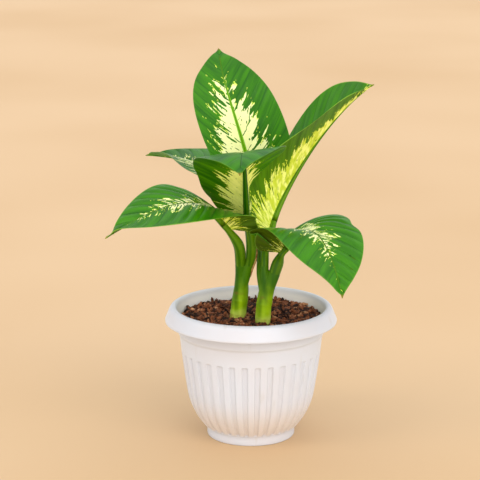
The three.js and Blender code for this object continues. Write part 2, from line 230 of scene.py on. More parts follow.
def new_object(name: str, data: bpy.types.ID) -> Piece:
    """A new object at the origin, in the scene.

    Args:
        name: its name.
        data: its mesh, light or camera.

    Returns:
        The object.
    """
    made = bpy.data.objects.new(name, data)
    bpy.context.scene.collection.objects.link(made)
    return made


def make_piece(
    name: str, shells: list[Shell], materials: list[Material], smooth: bool = True, merge: float = 0
) -> Piece:
    """One object from several shells.

    Args:
        name: the piece's name.
        shells: its surfaces, in millimetres; each names the material it takes.
        materials: the piece's materials.
        smooth: whether its faces are shaded smooth.
        merge: distance in millimetres under which points are joined, or 0.

    Returns:
        The new object, at the origin.
    """
    starts = np.cumsum([0] + [len(s.points) for s in shells])
    points = np.concatenate([s.points for s in shells]) * MM
    mesh = bpy.data.meshes.new(name)
    corners, sizes, finishes = [], [], []
    for shell, start in zip(shells, starts):
        for faces in (shell.quads, shell.triangles):
            corners.append((faces + start).ravel())
            sizes.append(np.full(len(faces), faces.shape[1]))
            finishes.append(np.full(len(faces), shell.finish))
    corners, sizes, finishes = (np.concatenate(x) for x in (corners, sizes, finishes))
    mesh.vertices.add(len(points))
    mesh.vertices.foreach_set("co", points.astype(np.float32).ravel())
    mesh.loops.add(len(corners))
    mesh.loops.foreach_set("vertex_index", corners.astype(np.int32))
    mesh.polygons.add(len(sizes))
    mesh.polygons.foreach_set("loop_start", np.concatenate([[0], np.cumsum(sizes)[:-1]]).astype(np.int32))
    mesh.polygons.foreach_set("material_index", finishes.astype(np.int32))
    mesh.update(calc_edges=True)
    mesh.polygons.foreach_set("use_smooth", np.full(len(sizes), smooth))
    for key in sorted({key for shell in shells for key in shell.values}):
        store_value(mesh, key, shells)
    if merge:
        merge_points(mesh, merge * MM)
    for material in materials:
        mesh.materials.append(material)
    return new_object(name, mesh)


def store_value(mesh: bpy.types.Mesh, key: str, shells: list[Shell]) -> None:
    """Puts one named value of the shells' points on a mesh, as a number or a vector for each.

    Args:
        mesh: the mesh made of the shells.
        key: the value's name.
        shells: the shells in order; one without the value takes zeros.
    """
    width = next(s.values[key].ndim for s in shells if key in s.values)
    shapes = [(len(s.points), 3) if width == 2 else (len(s.points),) for s in shells]
    data = np.concatenate([s.values.get(key, np.zeros(shape)) for s, shape in zip(shells, shapes)])
    attribute = mesh.attributes.new(key, "FLOAT_VECTOR" if width == 2 else "FLOAT", "POINT")
    attribute.data.foreach_set("vector" if width == 2 else "value", data.astype(np.float32).ravel())


def merge_points(mesh: bpy.types.Mesh, distance: float) -> None:
    """Joins points of a mesh that lie closer than a distance in metres.

    Args:
        mesh: the mesh.
        distance: the distance.
    """
    work = bmesh.new()
    work.from_mesh(mesh)
    bmesh.ops.remove_doubles(work, verts=work.verts, dist=distance)
    work.to_mesh(mesh)
    work.free()


def lathe(profile: Array, turns: int, shift: Array) -> Shell:
    """An outline of radius and height turned about the Z axis.

    Point (i, j) is the outline's point i at the angle of step j, its radius lessened by the
    shift there. The outline runs so that the outside lies on its right.

    Args:
        profile: [radius, height] rows.
        turns: steps in one turn, the first facing -Y.
        shift: how far each grid point is moved inwards.

    Returns:
        The shell, open at the outline's ends.
    """
    places = polar(profile[:, :1] - shift, round_angles(turns) - np.pi / 2)
    points = raised(places, profile[:, 1:])
    return Shell(points.reshape(-1, 3), grid_quads(len(profile), turns, around=True))


def capped(points: Array, rows: int, columns: int, finish: int, values: dict[str, Array]) -> Shell:
    """Rings of points as a closed tube, each end drawn together in one middle point.

    Args:
        points: the rings' points, row after row.
        rows: how many rings.
        columns: points in a ring.
        finish: number of the tube's material.
        values: named values for the rings' points.

    Returns:
        The closed shell.
    """
    ends = points.reshape(rows, columns, 3)[[0, -1]].mean(axis=1)
    j = np.arange(columns)
    k = (j + 1) % columns
    top = (rows - 1) * columns
    first = np.stack([np.full(columns, rows * columns), k, j], axis=1)
    last = np.stack([np.full(columns, rows * columns + 1), top + j, top + k], axis=1)
    grown = {key: np.concatenate([v, v[:1], v[-1:]]) for key, v in values.items()}
    quads = grid_quads(rows, columns, around=True)
    return Shell(np.concatenate([points, ends]), quads, np.concatenate([first, last]), grown, finish)


def carried_frames(centres: Array) -> tuple[Array, Array]:
    """Two directions across a line of points, carried along it without a twist.

    Args:
        centres: points along the line.

    Returns:
        The two cross directions at each point, square to the line and to each other.
    """
    tangents = unit(np.gradient(centres, axis=0))
    across = np.zeros_like(tangents)
    last = np.array([1.0, 0.0, 0.0])
    for i, tangent in enumerate(tangents):
        last = unit(last - tangent * (last @ tangent))
        across[i] = last
    return across, np.cross(tangents, across)


def tube(centres: Array, radii: Array, sides: int, finish: int = 0) -> Shell:
    """A tube along a line: each point stands its station's radius away from the line.

    Args:
        centres: points along the line.
        radii: the radius at each, or one row of radii round the tube for each.
        sides: points round the tube.
        finish: number of its material.

    Returns:
        The closed tube; its value skin_map holds a place on a ring and the length along.
    """
    across, aside = carried_frames(centres)
    angle = round_angles(sides)
    c, s = np.cos(angle), np.sin(angle)
    radii = np.broadcast_to(np.reshape(radii, (len(centres), -1)), (len(centres), sides))[..., None]
    ring = c[None, :, None] * across[:, None] + s[None, :, None] * aside[:, None]
    points = (centres[:, None] + radii * ring).reshape(-1, 3)
    skin = np.broadcast_arrays(SKIN_RADIUS * c, SKIN_RADIUS * s, walked(centres)[:, None])
    values = {"skin_map": np.stack(skin, axis=-1).reshape(-1, 3)}
    return capped(points, len(centres), sides, finish, values)


def bake_modifiers(piece: Piece) -> None:
    """Replaces a piece's mesh by what its modifiers make of it.

    Args:
        piece: the piece.
    """
    bpy.context.view_layer.update()
    graph = bpy.context.evaluated_depsgraph_get()
    made = bpy.data.meshes.new_from_object(piece.evaluated_get(graph))
    made.name = piece.name
    piece.modifiers.clear()
    piece.data = made


# ------------------------------------------------------------------ material building


def srgb(red: float, green: float, blue: float) -> tuple[float, float, float, float]:
    """A display colour as the linear colour that shaders take.

    Args:
        red: red from 0 to 255.
        green: green likewise.
        blue: blue likewise.

    Returns:
        The linear colour, with an opacity of 1.
    """
    parts = [c / 255 for c in (red, green, blue)]
    linear = [c / 12.92 if c <= 0.04045 else ((c + 0.055) / 1.055) ** 2.4 for c in parts]
    return (*linear, 1.0)


class Tree:
    """A node tree under construction, with a short method for each kind of node used."""

    def __init__(self, tree: bpy.types.NodeTree) -> None:
        """Takes an empty tree."""
        self.tree = tree

    def fill(self, node: Node, inputs: dict) -> Node:
        """Sets inputs of a node.

        Args:
            node: the node.
            inputs: inputs by name or number, each with a value or a socket to link from.

        Returns:
            The node.
        """
        for key, value in inputs.items():
            if isinstance(value, Socket):
                self.tree.links.new(value, node.inputs[key])
            else:
                node.inputs[key].default_value = value
        return node

    def add(self, kind: str, inputs: dict | None = None, **settings: object) -> Node:
        """Adds a node.

        Args:
            kind: its type name without the ShaderNode in front.
            inputs: its inputs, as for fill.
            **settings: the node's own properties.

        Returns:
            The node.
        """
        node = self.tree.nodes.new("ShaderNode" + kind)
        for key, value in settings.items():
            setattr(node, key, value)
        return self.fill(node, inputs or {})

    def group(self, name: str, **inputs: object) -> Sockets:
        """The outputs of a shared group, with its inputs set by name."""
        return self.add("Group", inputs, node_tree=bpy.data.node_groups[name]).outputs

    def dress(self, shader: Node, colour: Socket, rough: Socket, normal: Socket) -> None:
        """Links a shader's colour, roughness and normal."""
        self.fill(shader, {"Base Color": colour, "Roughness": rough, "Normal": normal})

    def value(self, name: str) -> Socket:
        """The number that a named attribute holds on the surface."""
        return self.add("Attribute", attribute_name=name).outputs["Fac"]

    def vector(self, name: str) -> Socket:
        """The vector that a named attribute holds on the surface."""
        return self.add("Attribute", attribute_name=name).outputs["Vector"]

    def parts(self, vector: Socket) -> Sockets:
        """The three numbers of a vector."""
        return self.add("SeparateXYZ", {0: vector}).outputs

    def here(self) -> Socket:
        """The place on the object, in metres."""
        return self.add("TexCoord").outputs["Object"]

    def math(self, operation: str, a: object, b: object = 0.0, clamp: bool = False) -> Socket:
        """One sum of two numbers."""
        return self.add("Math", {0: a, 1: b}, operation=operation, use_clamp=clamp).outputs[0]

    def plus(self, a: object, b: object, clamp: bool = False) -> Socket:
        """Two numbers added, kept within 0 and 1 if clamped."""
        return self.math("ADD", a, b, clamp)

    def minus(self, a: object, b: object) -> Socket:
        """One number less another."""
        return self.math("SUBTRACT", a, b)

    def times(self, a: object, b: object, clamp: bool = False) -> Socket:
        """Two numbers multiplied, kept within 0 and 1 if clamped."""
        return self.math("MULTIPLY", a, b, clamp)

    def stretch(self, vector: Socket, scale: tuple, shift: tuple = (0, 0, 0)) -> Socket:
        """A vector scaled by its three parts, then shifted."""
        return self.add("Mapping", {"Vector": vector, "Scale": scale, "Location": shift}).outputs[0]

    def noise(self, vector: Socket, scale: object, detail: float = 2) -> Socket:
        """Soft noise from 0 to 1."""
        return self.add("TexNoise", {"Vector": vector, "Scale": scale, "Detail": detail}).outputs["Fac"]

    def cells(self, veins: Socket, width: float, length: float, shift: tuple, detail: float) -> Socket:
        """Noise on a vein_map, with cells about a width across the veins by a length along them."""
        return self.noise(self.stretch(veins, (1 / width, 1 / length, 1), shift), 1, detail)

    def step(self, value: object, low: float, high: float, to: tuple = (0, 1)) -> Socket:
        """A smooth step of a value between low and high."""
        inputs = {"Value": value, "From Min": low, "From Max": high, "To Min": to[0], "To Max": to[1]}
        return self.add("MapRange", inputs, interpolation_type="SMOOTHSTEP").outputs[0]

    def over(self, value: Socket, limit: Socket) -> Socket:
        """1 where a value lies over a limit and 0 under it, with a narrow soft border."""
        return self.step(self.minus(value, limit), 0, 0.03)

    def mix(self, share: object, a: object, b: object) -> Socket:
        """A colour between a and b."""
        return self.add("Mix", {0: share, 6: a, 7: b}, data_type="RGBA").outputs[2]

    def bump(self, height: Socket, distance: float, strength: float) -> Socket:
        """A normal from a height, with the distance in metres for a height of one."""
        return self.add("Bump", {"Height": height, "Distance": distance, "Strength": strength}).outputs[0]


def new_group(name: str, inputs: dict[str, str], outputs: dict[str, str]) -> tuple[Tree, Sockets, Node]:
    """An empty shader group.

    Args:
        name: the group's name.
        inputs: input sockets, each name with Float, Vector or Color.
        outputs: output sockets likewise.

    Returns:
        The tree to fill, what it is given, and its output node.
    """
    group = bpy.data.node_groups.new(name, "ShaderNodeTree")
    for way, sockets in (("INPUT", inputs), ("OUTPUT", outputs)):
        for key, kind in sockets.items():
            group.interface.new_socket(name=key, in_out=way, socket_type="NodeSocket" + kind)
    given = group.nodes.new("NodeGroupInput").outputs
    return Tree(group), given, group.nodes.new("NodeGroupOutput")


def new_material(name: str, **constants: float) -> tuple[Material, Tree, Node]:
    """A material with its Principled shader.

    Args:
        name: the material's name.
        **constants: the shader's fixed numbers, with underscores for the spaces in their names.

    Returns:
        The material, its tree and its shader.
    """
    material = bpy.data.materials.new(name)
    material.use_nodes = True
    shader = material.node_tree.nodes["Principled BSDF"]
    for key, value in constants.items():
        shader.inputs[key.replace("_", " ")].default_value = value
    return material, Tree(material.node_tree), shader


def build_feather_group() -> None:
    """Group vein_feather: the blade's pale zone, broken up along the side veins.

    Zone is the distance inside the zone's smooth border, in millimetres. Three noises stretched
    along the veins push that border in and out by about the Reach, so that it breaks into long
    fingers and fine teeth. Slits and spots of green are left inside down to the depth Solid,
    most of them near the border, and pale flecks lie just outside it. Detail above 1 makes the
    whole pattern finer.
    """
    tree, given, made = new_group(
        "vein_feather",
        {"Map": "Vector", "Detail": "Float", "Zone": "Float", "Reach": "Float", "Solid": "Float"},
        {"Depth": "Float", "Mask": "Float"},
    )
    veins = tree.add("VectorMath", {0: given["Map"], "Scale": given["Detail"]}, operation="SCALE").outputs[0]
    depth = given["Zone"]
    for width, length, strength, shift in ((8, 48, 3.6, 0), (3.2, 16, 5.4, 5), (1.5, 4.2, 1.6, 9)):
        noise = tree.cells(veins, width, length, (shift, 0, shift), 0.5)
        depth = tree.plus(depth, tree.times(tree.minus(noise, 0.5), tree.times(given["Reach"], strength)))
    slits = tree.cells(veins, 2.1, 14, (4, 2, 12), 0)
    spots = tree.cells(veins, 1.7, 2.8, (7, 1, 15), 0)
    deep = tree.math("DIVIDE", depth, given["Solid"])
    left = tree.over(slits, tree.step(deep, 0, 1, (0.50, 0.76)))
    dots = tree.over(spots, tree.step(deep, 0, 0.8, (0.62, 0.80)))
    flecks = tree.over(spots, tree.step(depth, 0, -9, (0.60, 0.98)))
    inside = tree.step(depth, -0.2, 0.3)
    kept = tree.times(inside, tree.minus(1, tree.math("MAXIMUM", left, dots)))
    outside = tree.times(tree.minus(1, inside), flecks)
    tree.fill(made, {"Depth": depth, "Mask": tree.plus(kept, outside)})


def build_tissue_group() -> None:
    """Group leaf_tissue: long soft streaks along the veins, thin vein lines and a fine grain."""
    tree, given, made = new_group(
        "leaf_tissue",
        {"Map": "Vector", "Spacing": "Float"},
        {"Streak": "Float", "Line": "Float", "Grain": "Float"},
    )
    along = tree.parts(given["Map"])[0]
    beat = tree.math("PINGPONG", tree.math("DIVIDE", along, given["Spacing"]), 0.5)
    tree.fill(made, {
        "Streak": tree.cells(given["Map"], 5, 45, (2, 8, 3), 2),
        "Line": tree.step(beat, 0.09, 0.0),
        "Grain": tree.noise(tree.stretch(given["Map"], (1, 0.5, 1)), 1.6),
    })


def build_mottle_group() -> None:
    """Group soft_mottle: broad uneven patches and fine grain, by the place on the object."""
    tree, given, made = new_group(
        "soft_mottle", {"Patch": "Float", "Fine": "Float"}, {"Patches": "Float", "Grain": "Float"}
    )
    place = tree.here()
    patches, grain = tree.noise(place, given["Patch"], 3), tree.noise(place, given["Fine"])
    tree.fill(made, {"Patches": patches, "Grain": grain})


# ------------------------------------------------------------------ finishes


class LeafMaps:
    """What a blade's finish reads: the maps that the blade carries, and two groups fed by them."""

    def __init__(self, tree: Tree, solid: float, retreats: bool) -> None:
        """Adds the nodes.

        Args:
            tree: the material's tree.
            solid: depth in millimetres past which the pale zone is unbroken.
            retreats: whether the pale zone draws back by the leaf's own retreat.
        """
        self.tone, reach, self.rib_light = tree.parts(tree.vector("leaf_kind"))
        self.rim, self.tip, self.pale_edge = tree.parts(tree.vector("rim_map"))
        fine, self.shade, retreat = tree.parts(tree.vector("leaf_detail"))
        self.veins, zone = tree.vector("vein_map"), tree.value("pale_zone")
        zone = tree.minus(zone, retreat) if retreats else zone
        self.feather = tree.group(
            "vein_feather", Map=self.veins, Detail=fine, Zone=zone, Reach=reach, Solid=solid
        )
        self.tissue = tree.group("leaf_tissue", Map=self.veins, Spacing=VEIN_GAP)


@dataclass(frozen=True)
class LeafFinish:
    """One side of a blade: green tissue with streaks along its veins round a feathered pale zone.

    swing is how far a streak moves the green between deep and bright; solid and retreats are
    said in LeafMaps; rough is the range of the roughness, and grain the height of the fine
    relief in metres.
    """

    name: str
    deep: tuple
    bright: tuple
    cream: tuple
    lime: tuple
    edge: tuple
    swing: float
    solid: float
    retreats: bool
    specular: float
    rough: tuple
    grain: float

    def green(self, tree: Tree, maps: LeafMaps) -> Socket:
        """The streaked green, about the leaf's own tone."""
        streak = tree.step(maps.tissue["Streak"], 0.3, 0.7, (-self.swing, self.swing))
        return tree.mix(tree.plus(streak, maps.tone, clamp=True), self.deep, self.bright)

    def splash(self, tree: Tree, maps: LeafMaps) -> object:
        """The colour deep inside the pale zone."""
        return self.cream

    def trimmed(self, tree: Tree, maps: LeafMaps, colour: Socket) -> Socket:
        """The colour with the blade's thin light edge."""
        edge = tree.times(tree.step(maps.rim, 0.9, 0.2), maps.pale_edge)
        return tree.mix(edge, colour, self.edge)

    def material(self) -> Material:
        """Builds the material.

        Returns:
            The material.
        """
        material, tree, shader = new_material(self.name, Specular_IOR_Level=self.specular)
        maps = LeafMaps(tree, self.solid, self.retreats)
        pale = tree.mix(tree.step(maps.feather["Depth"], 0.2, 5), self.lime, self.splash(tree, maps))
        colour = tree.mix(maps.feather["Mask"], self.green(tree, maps), pale)
        rough = tree.step(maps.tissue["Grain"], 0.2, 0.8, self.rough)
        normal = tree.bump(maps.tissue["Grain"], self.grain, 0.6)
        tree.dress(shader, self.trimmed(tree, maps, colour), rough, normal)
        return material


@dataclass(frozen=True)
class UpperFinish(LeafFinish):
    """The blade's glossy upper side: deep green round a feathered cream middle."""

    name: str = "leaf_upper"
    deep: tuple = srgb(4, 66, 12)
    bright: tuple = srgb(72, 146, 0)
    cream: tuple = srgb(238, 240, 170)
    lime: tuple = srgb(208, 226, 80)
    edge: tuple = srgb(150, 190, 60)
    swing: float = 0.17
    solid: float = 38.0
    retreats: bool = False
    specular: float = 0.16
    rough: tuple = (0.28, 0.38)
    grain: float = 0.00022
    rib_dark: tuple = srgb(40, 84, 8)
    rib_light: tuple = srgb(116, 180, 18)
    tip: tuple = srgb(150, 120, 40)
    line_share: float = 0.36

    def green(self, tree: Tree, maps: LeafMaps) -> Socket:
        """The streaked green with thin dark lines along the side veins."""
        line = tree.times(maps.tissue["Line"], self.line_share)
        return tree.mix(line, super().green(tree, maps), self.deep)

    def trimmed(self, tree: Tree, maps: LeafMaps, colour: Socket) -> Socket:
        """The colour with the midrib, the light edge and the dry tip.

        Args:
            tree: the material's tree.
            maps: the blade's maps.
            colour: the blade's colour.

        Returns:
            The trimmed colour.
        """
        rib = tree.times(tree.step(tree.value("rib_zone"), -0.2, 0.25), tree.step(maps.tip, 18, 55))
        colour = tree.mix(rib, colour, tree.mix(maps.rib_light, self.rib_dark, self.rib_light))
        colour = super().trimmed(tree, maps, colour)
        return tree.mix(tree.step(maps.tip, 5, 0.5, (0, 0.8)), colour, self.tip)


@dataclass(frozen=True)
class UnderFinish(LeafFinish):
    """The blade's duller under side: a lime zone round cream that is partly painted light let through."""

    name: str = "leaf_under"
    deep: tuple = srgb(22, 90, 0)
    bright: tuple = srgb(96, 158, 0)
    # partly painted light: the under side's cream is as light as it goes, for light coming through the blade
    cream: tuple = srgb(254, 255, 142)
    lime: tuple = srgb(206, 218, 60)
    edge: tuple = srgb(150, 190, 50)
    swing: float = 0.3
    solid: float = 13.0
    retreats: bool = True
    specular: float = 0.1
    rough: tuple = (0.46, 0.6)
    grain: float = 0.00025
    # painted shade: the olive that a shaded under side is darkened towards
    olive: tuple = srgb(62, 66, 0)
    ochre: tuple = srgb(102, 138, 0)

    def green(self, tree: Tree, maps: LeafMaps) -> Socket:
        """The streaked green, darkened to olive by painted shade, and ochre close to the pale zone.

        Args:
            tree: the material's tree.
            maps: the blade's maps.

        Returns:
            The colour.
        """
        # painted shade: the leaf's shade darkens the under side's green towards olive
        green = tree.mix(maps.shade, super().green(tree, maps), self.olive)
        near = tree.times(tree.step(maps.feather["Depth"], -9, 0, (0, 0.6)), maps.pale_edge)
        return tree.mix(near, green, self.ochre)

    def splash(self, tree: Tree, maps: LeafMaps) -> Socket:
        """Cream with lime clouds and ochre blots.

        Args:
            tree: the material's tree.
            maps: the blade's maps.

        Returns:
            The colour.
        """
        cloud = tree.step(tree.cells(maps.veins, 4, 9, (1, 6, 2), 1), 0.6, 0.42, (0.25, 1))
        cloudy = tree.times(cloud, tree.times(maps.pale_edge, 2, clamp=True))
        blot = tree.step(tree.cells(maps.veins, 3.5, 5, (8, 3, 1), 1), 0.56, 0.66, (0, 0.6))
        pale = tree.mix(cloudy, self.cream, self.lime)
        return tree.mix(tree.times(blot, maps.pale_edge), pale, self.ochre)


@dataclass(frozen=True)
class StalkFinish:
    """Petiole and midrib: smooth green with fine lengthwise streaks, read from skin_map."""

    deep: tuple = srgb(28, 84, 0)
    bright: tuple = srgb(130, 172, 4)
    fleck: tuple = srgb(176, 200, 90)
    swing: float = 0.16

    def material(self) -> Material:
        """Builds the material.

        Returns:
            The material.
        """
        material, tree, shader = new_material("petiole_skin", Specular_IOR_Level=0.15)
        skin = tree.vector("skin_map")
        streak = tree.noise(tree.stretch(skin, (0.4, 0.4, 0.012)), 1, 1)
        fleck = tree.noise(tree.stretch(skin, (1.6, 1.6, 0.5)), 1)
        lit = tree.step(streak, 0.35, 0.65, (-self.swing, self.swing))
        colour = tree.mix(tree.plus(lit, tree.value("tone"), clamp=True), self.deep, self.bright)
        colour = tree.mix(tree.step(fleck, 0.66, 0.72, (0, 0.15)), colour, self.fleck)
        rough = tree.step(fleck, 0.2, 0.8, (0.34, 0.48))
        tree.dress(shader, colour, rough, tree.bump(streak, 0.0006, 0.5))
        return material


@dataclass(frozen=True)
class CaneFinish:
    """Fleshy cane and sheaths: pale at the foot, green above, with leaf scars as brown rings.

    The cane's own dark streaks deepen upwards into painted shade under the leaves.
    Heights and the lengths over which colours change are in metres.
    """

    foot: tuple = srgb(206, 222, 96)
    middle: tuple = srgb(170, 208, 10)
    high: tuple = srgb(74, 122, 0)
    # painted shade colour of the cane's dark streaks
    shade: tuple = srgb(28, 84, 0)
    scar: tuple = srgb(134, 96, 36)
    foot_height: float = 0.1165
    foot_fade: float = 0.014
    high_height: float = 0.158
    high_fade: float = 0.035
    shade_rise: tuple = (0.112, 0.14)
    scar_heights: tuple = (0.1185, 0.141)
    scar_fade: tuple = (0.004, 0.0008)
    waver: float = 0.02

    def material(self) -> Material:
        """Builds the material.

        Returns:
            The material.
        """
        material, tree, shader = new_material("cane_skin", Specular_IOR_Level=0.15)
        place = tree.here()
        height = tree.parts(place)[2]
        mottle = tree.group("soft_mottle", Patch=90.0, Fine=700.0)
        streak = tree.noise(tree.stretch(place, (110, 110, 16)), 1, 1)
        up = tree.plus(height, tree.times(tree.minus(mottle["Patches"], 0.5), self.waver))
        green = tree.step(up, self.foot_height, self.foot_height + self.foot_fade)
        colour = tree.mix(green, self.foot, self.middle)
        darker = tree.step(up, self.high_height - self.high_fade, self.high_height)
        colour = tree.mix(darker, colour, self.high)
        # painted shade: dark streaks grow stronger upwards, towards the leaves above
        shaded = tree.times(tree.step(streak, 0.42, 0.72), tree.step(up, *self.shade_rise, (0.2, 0.75)))
        colour = tree.mix(shaded, colour, self.shade)
        patchy = tree.step(mottle["Patches"], 0.44, 0.62, (0, 0.7))
        for scar in self.scar_heights:
            ring = tree.step(tree.math("ABSOLUTE", tree.minus(height, scar)), *self.scar_fade)
            colour = tree.mix(tree.times(ring, patchy), colour, self.scar)
        rough = tree.step(mottle["Grain"], 0.3, 0.7, (0.36, 0.5))
        tree.dress(shader, colour, rough, tree.bump(streak, 0.0006, 0.6))
        return material


@dataclass(frozen=True)
class PaperyFinish:
    """The dry brown edge of a leaf sheath."""

    brown: tuple = srgb(120, 70, 28)
    straw: tuple = srgb(186, 150, 84)

    def material(self) -> Material:
        """Builds the material.

        Returns:
            The material.
        """
        material, tree, shader = new_material("dry_sheath", Specular_IOR_Level=0.3)
        mottle = tree.group("soft_mottle", Patch=260.0, Fine=1500.0)
        colour = tree.mix(tree.step(mottle["Patches"], 0.35, 0.65), self.brown, self.straw)
        rough = tree.step(mottle["Grain"], 0.3, 0.7, (0.6, 0.8))
        tree.dress(shader, colour, rough, tree.bump(mottle["Grain"], 0.0003, 0.5))
        return material


@dataclass(frozen=True)
class PlasticFinish:
    """Moulded white plastic: even, softly glossy, with a faint waviness and handling marks.

    The low colour is warm light thrown back by the floor. It fades out upwards over low_fade
    and starts above the foot ring, over foot_edge, both in metres. inner_painted_light is
    painted light: the pot's inside, from the lip down, is lighter than its outer white.
    """

    white: tuple = srgb(205, 207, 213)
    warm: tuple = srgb(206, 204, 207)
    low: tuple = srgb(212, 190, 168)
    # painted light: the lighter colour of the pot's inner wall
    inner_painted_light: tuple = srgb(248, 244, 236)
    scuff: tuple = srgb(190, 182, 170)
    low_fade: tuple = (0.052, 0.016)
    foot_edge: tuple = (0.009, 0.013)

    def material(self) -> Material:
        """Builds the material.

        Returns:
            The material.
        """
        material, tree, shader = new_material("white_plastic", Specular_IOR_Level=0.5)
        place = tree.here()
        height = tree.parts(place)[2]
        mottle = tree.group("soft_mottle", Patch=18.0, Fine=900.0)
        marks = tree.step(tree.noise(tree.stretch(place, (90, 90, 14)), 1, 3), 0.64, 0.74, (0, 0.25))
        colour = tree.mix(tree.step(mottle["Patches"], 0.3, 0.7), self.white, self.warm)
        colour = tree.mix(marks, colour, self.scuff)
        tinted = tree.times(tree.step(height, *self.low_fade), tree.step(height, *self.foot_edge, (0, 0.6)))
        colour = tree.mix(tinted, colour, self.low)
        # painted light: the inside, from the lip down, is painted lighter than the outer white
        colour = tree.mix(tree.value("inside"), colour, self.inner_painted_light)
        rough = tree.plus(tree.step(mottle["Patches"], 0.3, 0.7, (0.34, 0.42)), tree.times(marks, 0.4))
        tree.dress(shader, colour, rough, tree.bump(mottle["Grain"], 0.00008, 0.5))
        return material


@dataclass(frozen=True)
class CoirFinish:
    """Damp coir mix: near-black brown to lighter tan by tone, each chip's own, the bed's painted shade."""

    dark: tuple = srgb(36, 14, 4)
    brown: tuple = srgb(140, 80, 46)
    tan: tuple = srgb(198, 146, 104)

    def material(self) -> Material:
        """Builds the material.

        Returns:
            The material.
        """
        material, tree, shader = new_material("coir", Specular_IOR_Level=0.3)
        mottle = tree.group("soft_mottle", Patch=420.0, Fine=1600.0)
        wave = tree.times(tree.minus(mottle["Patches"], 0.5), 0.9)
        tone = tree.plus(tree.value("tone"), wave, clamp=True)
        colour = tree.mix(tree.step(tone, 0.1, 0.6), self.dark, self.brown)
        colour = tree.mix(tree.step(tone, 0.6, 1.0), colour, self.tan)
        rough = tree.step(mottle["Grain"], 0.3, 0.7, (0.72, 0.95))
        tree.dress(shader, colour, rough, tree.bump(mottle["Grain"], 0.0006, 0.8))
        return material


# ------------------------------------------------------------------ the pot


